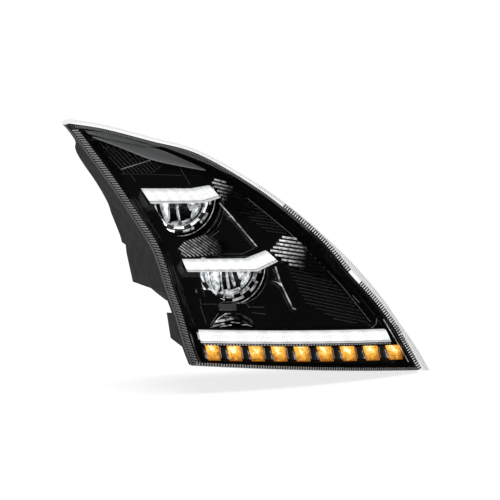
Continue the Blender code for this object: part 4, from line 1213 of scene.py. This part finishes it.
def make_projector(prefix):
    x, y, z = centre = PROJECTORS[prefix]
    body = "carrier"
    shape = Shape()
    dome = [(0.0, -LENS_RISE)]
    dome += [(LENS_RADIUS * math.sin(a), -LENS_RISE * math.cos(a))
             for a in (math.radians(90.0 * k / 30) for k in range(1, 30))]
    dome += [(LENS_RADIUS - 0.1, 0.2), (LENS_RADIUS, 0.6), (LENS_RADIUS, 2.6),
             (LENS_RADIUS - 0.4, 3.0), (LENS_RADIUS - 2.4, 3.0)]
    dome += [((LENS_RADIUS - 2.4) * math.sin(a), 3.0 - (LENS_RISE + 0.4) * math.cos(a))
             for a in (math.radians(90.0 * k / 30) for k in range(29, 0, -1))]
    dome += [(0.0, 2.6 - LENS_RISE)]
    shape.turned(centre, dome, facets=128)
    shape.make(prefix + "_lens_fine", GLASS, "projector_glass", body,
               (prefix + "_projector_lens",), smooth_angle=50.0)

    shape = Shape()
    shape.turned(centre, ((41.5, 2.0), (52.5, 2.0), (52.5, 4.0), (41.5, 4.0)), facets=128)
    shape.make(prefix + "_ring_base", GLOSS_BLACK, "gloss_black_plastic", body,
               (prefix + "_projector_ring",))
    # Ring castellations and shroud bead: chrome with a painted glow, painted highlights.
    shape = Shape()
    shape.arc_block(centre, 40.2, 41.3, -178.0, 178.0, 0.2, 2.6, steps=120)
    count, dash = 10, 21.0
    for k in range(count):
        start = 7.0 + k * 360.0 / count
        shape.arc_block(centre, 42.0, 46.0, start, start + dash, 0.4, 2.6)
        start += 180.0 / count
        shape.arc_block(centre, 47.8, 51.6, start, start + dash, 0.4, 2.6)
    shape.make(prefix + "_ring_castellations", RING_CHROME_PAINTED_GLOW, "chrome", body, smooth_angle=40.0)

    shape = Shape()
    shape.turned(centre, ((56.9, -0.4), (56.4, -0.9), (55.6, -0.9), (55.2, 0.0), (54.5, 5.0),
                          (42.5, 12.0), (42.5, 16.0), (46.0, 16.0), (56.9, 7.0)), facets=128)
    shape.make(prefix + "_shroud_fine", GLOSS_BLACK, "gloss_black_plastic", body,
               (prefix + "_projector_shroud",), smooth_angle=40.0)
    shape = Shape()
    shape.arc_block(centre, 55.5, 56.7, -178.0, 178.0, -1.6, -0.95, steps=120)
    shape.make(prefix + "_shroud_bead", RING_CHROME_PAINTED_GLOW, "chrome", body, smooth_angle=40.0)

    def petals(angle, r, along):
        return r * (1.0 + 0.05 * abs(math.sin(5.5 * angle + 0.4)) * smooth((40.0 - r) / 10.0))

    shape = Shape()
    bowl = [(40.8, 4.6), (39.4, 4.6)]
    bowl += [(lerp(39.4, 15.0, (k / 12) ** 0.8), 4.6 + 19.0 * math.sin(math.pi / 2 * k / 12))
             for k in range(1, 13)]
    bowl += [(15.0, 25.0), (34.0, 19.0), (40.8, 8.0)]
    shape.turned(centre, bowl, facets=144, radius=petals)
    shape.make(prefix + "_reflector_fine", SMOKED_CHROME, "chrome", body,
               (prefix + "_projector_reflector",), smooth_angle=50.0)
    make_lobes(prefix, centre, body)

    shape = Shape()
    shape.turned((x, y, z), ((0.0, 22.4), (13.6, 22.4), (14.2, 23.0), (14.2, 24.2), (0.0, 24.2)),
                 facets=64)
    shape.make(prefix + "_led_plate", BOARD_DARK, "circuit_board", body)
    shape = Shape()
    for dx in (-3.0, 3.0):
        for dz in (-2.0, 2.0):
            shape.box((x + dx - 1.4, y + 21.8, z + dz - 1.4), (x + dx + 1.4, y + 22.3, z + dz + 1.4))
    shape.make(prefix + "_led_chips", PHOSPHOR, "amber_diffuser", body, bevel=0.15)
    make_heat_sink(prefix, x, y + 27.4, z)


# Mirrored lobes behind each lens, as outlines in (x, z) about its centre, set at a depth.
LOBES = (
    (((-30, 6), (-17, 8), (-14, -12), (-13, -30), (-17, -37), (-22, -30), (-28, -12)), 3.4),
    (((-36, 2), (-32, 3), (-27, -22), (-21, -36), (-24, -35), (-32, -22)), 4.4),
    (((-5, 8), (-1.5, 8), (0, -14), (4, -38), (1, -39), (-3.5, -16)), 2.4),
    (((-9, -38), (-7, -38), (-10, -20), (-12, 6), (-13.5, 4), (-12, -20)), 3.0),
    (((16, 8), (28, 4), (27, -10), (20, -19), (15, -12), (13, 0)), 3.2),
    (((3, 8), (6, 8), (6, -8), (12, -27), (9, -28), (2.5, -10)), 3.6),
    (((-14, -38), (-4, -33), (6, -34), (17, -30), (19, -34), (7, -39.5), (-8, -40)), 3.0),
    (((24, -14), (34, -6), (36, -12), (29, -25), (22, -31), (20, -27)), 4.2),
    (((-39, -4), (-36, -5), (-30, -25), (-26, -29), (-30, -25), (-37, -16)), 5.0),
    (((30, 2), (37, 2), (38, -4), (35, -5), (31, -2)), 4.4))
# The upper projector shows fewer of them.
LOBES_SHOWN = {"upper": LOBES[:1] + LOBES[2:9:2] + LOBES[7:8], "lower": LOBES}


def make_lobes(prefix, centre, body):
    """Facets of the reflector as they show through the lens, crowned, mirrored and given a painted glow as
    painted highlights.
    """
    x, y, z = centre
    shape = Shape()
    for outline, depth in LOBES_SHOWN[prefix]:
        if len(outline) % 2:
            outline = outline + (outline[0],)
        mid_x = sum(p[0] for p in outline) / len(outline)
        mid_z = sum(p[1] for p in outline) / len(outline)
        outline = [spline(outline + (outline[0],), k / 4) for k in range(4 * len(outline))]
        verts = []
        for scale, lift in ((1.0, 2.6), (0.97, 0.7), (0.8, 0.2), (0.5, -0.3)):
            verts += [(x + lerp(mid_x, px, scale), y + depth + lift, z + lerp(mid_z, pz, scale))
                      for px, pz in outline]
        n = len(outline)
        faces = [tuple(range(n)), tuple(range(4 * n - 1, 3 * n - 1, -1))]
        for ring in range(3):
            for k in range(n):
                m = (k + 1) % n
                faces.append((ring * n + k, ring * n + m, (ring + 1) * n + m, (ring + 1) * n + k))
        shape.add(verts, faces)
    shape.make(prefix + "_reflector_lobes", LOBE_CHROME_PAINTED_GLOW[prefix], "chrome", body,
               smooth_angle=60.0)


def make_heat_sink(prefix, x, y, z):
    half, base, fin_length, fins = 29.0, 5.0, 32.0, 7
    pitch = 2.0 * half / (fins - 0.5)
    shape = Shape()
    shape.box((x - half, y, z - half), (x + half, y + base, z + half))
    for k in range(fins):
        right = half - k * pitch
        shape.box((x + right - pitch / 2.0, y + base - 0.2, z - half),
                  (x + right, y + base + fin_length, z + half))
    shape.make(prefix + "_heat_sink_fine", ALUMINIUM, "aluminium", "carrier",
               (prefix + "_heat_sink",), bevel=0.7)


def make_tunnels():
    for name, prefix, depth in (("upper_tunnel", "upper", 22.0), ("lower_tunnel", "lower", 14.0)):
        x, y, z = PROJECTORS[prefix]
        shape = Shape()
        verts, faces, steps = [], [], 72
        section = ((63.0, -depth), (65.0, -depth), (63.0, 8.0), (61.0, 8.0))
        for k in range(steps + 1):
            angle = math.radians(lerp(216.0, 359.0, k / steps))
            for r, along in section:
                verts.append((x + r * math.cos(angle), y + along, z + r * math.sin(angle)))
        faces += [(0, 1, 2, 3), tuple(steps * 4 + i for i in (3, 2, 1, 0))]
        for k in range(steps):
            for i in range(4):
                a, b = k * 4 + i, k * 4 + (i + 1) % 4
                faces.append((a, b, b + 4, a + 4))
        shape.add(verts, faces)
        shape.make(name + "_fine", GLOSS_BLACK, "gloss_black_plastic", replaces=(name,),
                   smooth_angle=50.0)


BOWL_CENTRE = (-121.0, -221.5, -62.0)
# Bright streaks in the third bowl, painted reflections in chrome with a painted glow: each from one radius
# and angle about its centre to another, with its width and the number of straight lengths it is bent into.
PAINTED_STREAKS = (
    (44, 153, 37, 102, 1.4, 3), (39, 140, 29, 86, 3.2, 1), (40, 152, 26, 121, 2.4, 1),
    (28, 139, 20, 97, 1.6, 1), (35, 110, 31, 92, 1.6, 1), (24, 95, 25, 62, 1.2, 1),
    (33, 75, 35, 49, 1.2, 2), (24, 53, 35, 28, 1.2, 2), (37, 51, 39, 36, 1.0, 1))


def streak_path(start_radius, start, end_radius, end, lengths):
    points = []
    for k in range(lengths + 1):
        angle = math.radians(lerp(start, end, k / lengths))
        radius = lerp(start_radius, end_radius, k / lengths)
        points.append((BOWL_CENTRE[0] + radius * math.cos(angle),
                       BOWL_CENTRE[2] + radius * math.sin(angle)))
    return points


def make_auxiliary_bowl():
    """Third reflector, half hidden behind the lowest bar, with its bracket above."""
    x, y, z = BOWL_CENTRE
    shape = Shape()
    steps, rings = 64, 10
    front, back = [], []
    for j in range(rings + 1):
        v = j / rings
        r = lerp(37.8, 11.0, v)
        depth = 12.0 * math.sin(math.pi / 2 * v) + 0.3
        lines = ([], [])
        for i in range(steps + 1):
            a = math.radians(lerp(9.0, 171.0, i / steps))
            wave = 0.6 * abs(math.sin(8.0 * a)) * math.sin(math.pi * v)
            lines[0].append((x + r * math.cos(a), y + depth - wave, z + r * math.sin(a)))
            lines[1].append((x + r * math.cos(a), y + depth + 1.0, z + r * math.sin(a)))
        front.append(lines[0])
        back.append(lines[1])
    shape.slab(front, back)
    shape.make("auxiliary_bowl_fine", SMOKED_CHROME, "chrome", replaces=("auxiliary_bowl",),
               smooth_angle=50.0)
    # Bead and streaks: chrome with a painted glow, painted highlights and painted reflections.
    shape = Shape()
    shape.arc_block((x, y, z), 37.0, 38.0, 96.0, 155.0, -1.2, 0.2, steps=40)
    for *ends, width, lengths in PAINTED_STREAKS:
        path = streak_path(*ends, lengths)
        for a, b in zip(path, path[1:]):
            shape.bar(a, b, width, 33.5, 30.0)
    shape.make("auxiliary_bowl_bead_and_painted_streaks", STREAK_CHROME_PAINTED_GLOW, "chrome", smooth_angle=50.0)
    shape = Shape()
    bottom = polyline([(-142.5, -20), (-116, -21)], 16)
    top = polyline([(-143, -10.5), (-116, -11.5)], 16)
    shape.panel(bottom, top, 21.0, 5.0, rows=8,
                relief=lambda u, v: 1.5 * math.sin(math.pi * v) + 0.8 * math.sin(math.pi * u))
    shape.make("bowl_bracket_fine", GREY_BAND, "grey_plastic", replaces=("bowl_bracket",))
    shape = Shape()
    # Hood and bracket lines: raised edges coloured paler grey as painted highlights.
    hood = [(-143.5, -14), (-137, -8.5), (-120, -9), (-99, -11), (-94.5, -14.5), (-93.5, -18.5)]
    for a, b in zip(hood, hood[1:]):
        shape.bar(a, b, 0.9, 27.2, 25.6)
    for a, b in (((-158, -40), (-144, -24)), ((-156, -43), (-150, -34))):
        shape.bar(a, b, 1.2, 27.2, 25.0)
    shape.make("bowl_hood_lines", GREY_PAINTED_HIGHLIGHT, "grey_plastic")


# ---------------------------------------------------------------- carrier, adjuster, rear

CAD_LOOKS = (
    (SATIN_BLACK, ("carrier_frame", "lower_module_barrel", "pivot_block_inboard",
                   "pivot_post_outboard")),
    (BOARD_WHITE, ("drl_board_upper", "drl_board_lower", "drl_board_main", "upper_led_board",
                   "lower_led_board")),
    (BOARD_DARK, ("turn_board",)),
    (GREY_BLADE, ("aim_ball_socket",)),
    (STEEL, ("aim_ball_stud",)))


def dress_cad_nodes():
    for material, names in CAD_LOOKS:
        for name in names:
            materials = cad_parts[name].data.materials
            materials.clear()
            materials.append(material)


def make_caps():
    """Access caps with a finger bar and a ribbed rim, on their rubber seals."""
    for prefix in ("upper", "lower"):
        body = prefix + "_cap"
        x, _, z = node_centre(prefix + "_access_cap")
        back = PLATE_Y + 0.3
        rear = back + 3.3
        shape = Shape()

        def grips(angle, r, along):
            return r - (0.5 if r > 37.0 and math.sin(36.0 * angle) > 0.2 else 0.0)

        profile = ((0.0, -37.0), (27.4, -37.0), (28.0, -36.6), (29.6, -35.0), (30.0, -34.4),
                   (30.0, rear), (37.0, rear), (37.5, rear + 0.5), (37.5, rear + 5.4),
                   (37.0, rear + 6.2), (34.8, rear + 8.4), (33.6, rear + 9.0), (28.5, rear + 9.0),
                   (27.9, rear + 8.2), (27.0, rear + 8.0), (0.0, rear + 8.0))
        shape.turned((x, 0.0, z), profile, facets=144, radius=grips)
        shape.make(prefix + "_access_cap_fine", DULL_BLACK, "satin_black_plastic", body,
                   (prefix + "_access_cap",), smooth_angle=35.0)
        shape = Shape()
        shape.box((x - 24.0, rear + 7.6, z - 3.2), (x + 24.0, rear + 13.8, z + 3.2))
        for k in range(12):
            a = math.radians(30.0 * k + 15.0)
            ax, az = math.cos(a), math.sin(a)
            if abs(az) > 0.2:
                shape.box((x + 20.0 * ax - 1.4, rear + 7.8, z + 20.0 * az - 1.4),
                          (x + 20.0 * ax + 1.4, rear + 8.8, z + 20.0 * az + 1.4))
        shape.make(prefix + "_cap_grip", DULL_BLACK, "satin_black_plastic", body, bevel=1.0)
        shape = Shape()
        shape.turned((x, 0.0, z), ((31.6, back), (35.6, back), (36.0, back + 0.6),
                                   (35.4, back + 1.5), (36.0, back + 2.4), (35.6, back + 3.0),
                                   (31.6, back + 3.0)), facets=96)
        shape.make(prefix + "_cap_seal_fine", RUBBER, "black_rubber", body,
                   (prefix + "_cap_seal",))


def make_mounts():
    low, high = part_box("rear_mount_pad")
    low, high = low / MM, high / MM
    shape = Shape()
    shape.box(low, high)
    recess = Shape()
    for k in range(2):
        for side in (-1, 1):
            cx, cz = side * 13.0, (k - 0.5) * 14.0
            recess.box((cx - 8.0, high[1] - 3.0, cz - 4.4), (cx + 8.0, high[1] + 2.0, cz + 4.4))
    shape.make("rear_mount_pad_fine", DULL_BLACK, "satin_black_plastic",
               replaces=("rear_mount_pad",), bevel=0.8, cutters=(recess,))
    for place_name in ("top", "inboard", "outboard"):
        x, _, z = node_centre("mount_boss_" + place_name)
        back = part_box("mount_boss_" + place_name)[0].y / MM
        shape = Shape()
        shape.turned((x, 0.0, z), ((5.0, back), (10.0, back), (10.0, -16.6), (9.4, -16.0),
                                   (5.6, -16.0), (5.0, -16.6)), facets=64)
        for k in range(6):
            a = math.radians(60.0 * k)
            cx, cz = x + 9.2 * math.cos(a), z + 9.2 * math.sin(a)
            shape.box((cx - 0.9, back, cz - 0.9), (cx + 0.9, -19.0, cz + 0.9))
        shape.make("mount_boss_%s_fine" % place_name, DULL_BLACK, "satin_black_plastic",
                   replaces=("mount_boss_" + place_name,))
        shape = Shape()
        profile = [(0.0, back), (3.9, back), (3.9, -15.0)]
        pitch = 1.25
        for k in range(9):
            at = -14.6 + k * pitch
            profile += [(3.35, at), (4.0, at + pitch / 2)]
        profile += [(3.3, -2.9), (2.9, -2.0), (0.0, -2.0)]
        shape.turned((x, 0.0, z), profile, facets=48)
        shape.make("mount_stud_%s_fine" % place_name, STEEL, "zinc_steel",
                   replaces=("mount_stud_" + place_name,), smooth_angle=25.0)


def make_rear_fittings():
    low, high = [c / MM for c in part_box("driver_module")]
    shape = Shape()
    shape.box((low[0], low[1], low[2]), (high[0], high[1] - 6.0, high[2]))
    fins = 13
    pitch = (high[0] - low[0] - 14.0) / (fins - 1)
    for k in range(fins):
        at = low[0] + 7.0 + k * pitch
        shape.box((at - 1.1, high[1] - 6.4, low[2] + 3.0), (at + 1.1, high[1], high[2] - 3.0))
    shape.make("driver_module_fine", ALUMINIUM, "aluminium", replaces=("driver_module",),
               bevel=0.6)
    shape = Shape()
    for sx in (low[0] + 3.4, high[0] - 3.4):
        for sz in (low[2] + 3.6, high[2] - 3.6):
            shape.turned((sx, 0.0, sz), ((0.0, high[1] - 6.1), (2.4, high[1] - 6.1),
                                         (2.2, high[1] - 4.9), (1.0, high[1] - 4.6),
                                         (0.0, high[1] - 5.4)), facets=24)
    shape.make("driver_screws", STEEL, "zinc_steel")

    low, high = [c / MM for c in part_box("connector_socket")]
    shape = Shape()
    shape.box(low, high)
    hollow = Shape()
    hollow.box((low[0] + 4.0, -26.0, low[2] + 4.0), (high[0] - 4.0, high[1] + 3.0, high[2] - 4.0))
    shape.make("connector_socket_fine", DULL_BLACK, "satin_black_plastic",
               replaces=("connector_socket",), bevel=0.7, cutters=(hollow,))
    shape = Shape()
    for k in range(6):
        for row in (0, 1):
            cx = lerp(low[0] + 8.0, high[0] - 8.0, k / 5)
            cz = lerp(low[2] + 9.5, high[2] - 9.5, row)
            shape.box((cx - 0.6, -26.2, cz - 0.6), (cx + 0.6, -17.0, cz + 0.6))
    shape.make("connector_pins", BRASS, "zinc_steel", bevel=0.2)
    shape = Shape()
    middle = (low[0] + high[0]) / 2
    shape.box((middle - 5.0, low[1] + 6.0, high[2] - 0.4),
              (middle + 5.0, high[1] - 3.0, high[2] + 1.6))
    shape.make("connector_latch", DULL_BLACK, "satin_black_plastic", bevel=0.5)

    for name in ("upper", "lower"):
        x, _, z = node_centre("breather_vent_" + name)
        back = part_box("breather_vent_" + name)[0].y / MM

        def slots(angle, r, along):
            return r - (0.9 if r > 7.0 and math.sin(8.0 * angle) > 0.5 else 0.0)

        shape = Shape()
        shape.turned((x, 0.0, z), ((0.0, back), (5.0, back), (5.0, -25.0), (7.6, -25.0),
                                   (8.0, -24.4), (8.0, -22.2), (7.4, -21.2), (6.3, -20.6),
                                   (3.0, -20.5), (2.6, -21.2), (0.0, -21.2)), facets=96,
                     radius=slots)
        shape.make("breather_vent_%s_fine" % name, RUBBER, "black_rubber",
                   replaces=("breather_vent_" + name,), smooth_angle=35.0)

    low, high = [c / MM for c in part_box("aim_adjuster_body")]
    x, _, z = node_centre("aim_screw_knob")
    shape = Shape()
    shape.box(low, high)
    bore = Shape()
    bore.prism(arc((x, z), 4.0, 0.0, 360.0, 32)[:-1], low[1] - 2.0, high[1] + 2.0)
    shape.make("aim_adjuster_body_fine", DULL_BLACK, "satin_black_plastic",
               replaces=("aim_adjuster_body",), bevel=1.2, cutters=(bore,))

    def teeth(angle, r, along):
        return r - (0.9 if r > 8.0 and math.sin(18.0 * angle) > 0.0 else 0.0)

    shape = Shape()
    shape.turned((x, 0.0, z), ((0.0, -20.0), (3.2, -20.0), (3.2, -13.5), (8.6, -13.5), (9.0, -13.0),
                               (9.0, -6.2), (8.4, -5.5), (7.5, -4.2), (7.0, -4.0), (0.0, -4.0)),
                 facets=108, radius=teeth)
    slot = Shape()
    cross = ((5.5, -0.8), (5.5, 0.8), (0.8, 0.8), (0.8, 5.5), (-0.8, 5.5), (-0.8, 0.8),
             (-5.5, 0.8), (-5.5, -0.8), (-0.8, -0.8), (-0.8, -5.5), (0.8, -5.5), (0.8, -0.8))
    slot.prism([(x + a, z + b) for a, b in cross], -6.5, 0.0)
    shape.make("aim_screw_knob_fine", STEEL, "zinc_steel", "aim_screw", ("aim_screw_knob",),
               smooth_angle=30.0, cutters=(slot,))


# ---------------------------------------------------------------- floor, light and camera

# The floor is mid-grey, so it throws little light back onto the lamp, and its glow is seen by
# camera rays only, which lifts it to a pale one. The world does the same.
FLOOR_GREY, FLOOR_GLOW = 0.24, 0.8
WORLD_SEEN, WORLD_LIGHT = 1.02, 0.06


def make_stage():
    mesh = bpy.data.meshes.new("floor")
    size, floor_z = 60.0, CAD_BOX[0].z - 0.0008
    mesh.from_pydata([(-size, -size, floor_z), (size, -size, floor_z), (size, size, floor_z),
                      (-size, size, floor_z)], [], [(0, 1, 2, 3)])
    floor = bpy.data.objects.new("floor", mesh)
    bpy.context.scene.collection.objects.link(floor)
    material, tree, shader = new_material("pale floor", (FLOOR_GREY,) * 3, 0.7, specular=0.1)
    rough = spread(tree, noise_of(tree, place(tree), 6.0, 3.0), 0.65, 0.8)
    tree.links.new(rough, shader.inputs["Roughness"])
    shader.inputs["Emission Color"].default_value = (1.0, 1.0, 1.0, 1.0)
    path = tree.nodes.new("ShaderNodeLightPath")
    tree.links.new(spread(tree, path.outputs["Is Camera Ray"], 0.0, FLOOR_GLOW, 0.0, 1.0),
                   shader.inputs["Emission Strength"])
    mesh.materials.append(material)

    world = bpy.data.worlds.new("studio")
    bpy.context.scene.world = world
    world.use_nodes = True
    tree = world.node_tree
    background = tree.nodes["Background"]
    background.inputs["Color"].default_value = (1.0, 1.0, 1.0, 1.0)
    path = tree.nodes.new("ShaderNodeLightPath")
    seen = spread(tree, path.outputs["Is Camera Ray"], WORLD_LIGHT, WORLD_SEEN, 0.0, 1.0)
    tree.links.new(seen, background.inputs["Strength"])


def aim(light, direction):
    light.rotation_euler = (-direction).to_track_quat("-Z", "Y").to_euler()


def softbox(name, direction, distance, size, radiance):
    """Rectangular light that faces the lamp from a direction."""
    data = bpy.data.lights.new(name, "AREA")
    data.shape = "RECTANGLE"
    data.size, data.size_y = size
    data.energy = radiance * math.pi * size[0] * size[1]
    light = bpy.data.objects.new(name, data)
    bpy.context.scene.collection.objects.link(light)
    direction = Vector(direction).normalized()
    light.location = (CAD_BOX[0] + CAD_BOX[1]) / 2 + direction * distance
    aim(light, direction)


def make_lights():
    data = bpy.data.lights.new("overhead softbox", "SUN")
    data.energy = 3.3
    data.angle = math.radians(50.0)
    light = bpy.data.objects.new("overhead softbox", data)
    bpy.context.scene.collection.objects.link(light)
    aim(light, Vector((0.0, 0.36, 1.0)).normalized())
    softbox("left key", (-0.8, -0.58, 0.25), 2.2, (1.1, 1.1), 3.6)
    softbox("front card", (0.31, -0.95, -0.01), 1.8, (0.8, 0.24), 2.6)
    softbox("left low card", (-0.75, -0.66, 0.0), 1.7, (0.3, 0.2), 3.0)


def make_camera():
    """Long lens, a little above the lamp and round to its inboard side."""
    azimuth, elevation, distance = math.radians(-18.0), math.radians(4.0), 3.17
    target = Vector((-0.074, -0.158, 0.063))
    back = Vector((math.sin(azimuth) * math.cos(elevation),
                   -math.cos(azimuth) * math.cos(elevation), math.sin(elevation)))
    data = bpy.data.cameras.new("camera")
    data.lens = 152.16
    data.clip_end = 60.0
    camera = bpy.data.objects.new("camera", data)
    bpy.context.scene.collection.objects.link(camera)
    camera.location = target + back * distance
    camera.rotation_euler = (-back).to_track_quat("-Z", "Y").to_euler()
    bpy.context.scene.camera = camera


bpy.context.scene.view_settings.view_transform = "Standard"
dress_cad_nodes()
make_outer_lens()
make_seal()
make_knurls()
make_flange_ribs()
make_housing()
make_bezel()
make_bezel_lines()
make_rib_panels()
make_blade()
make_accents()
make_flutes()
make_bars()
make_turn_signal()
for prefix in PROJECTORS:
    make_projector(prefix)
make_tunnels()
make_auxiliary_bowl()
make_caps()
make_mounts()
make_rear_fittings()
make_stage()
make_lights()
make_camera()
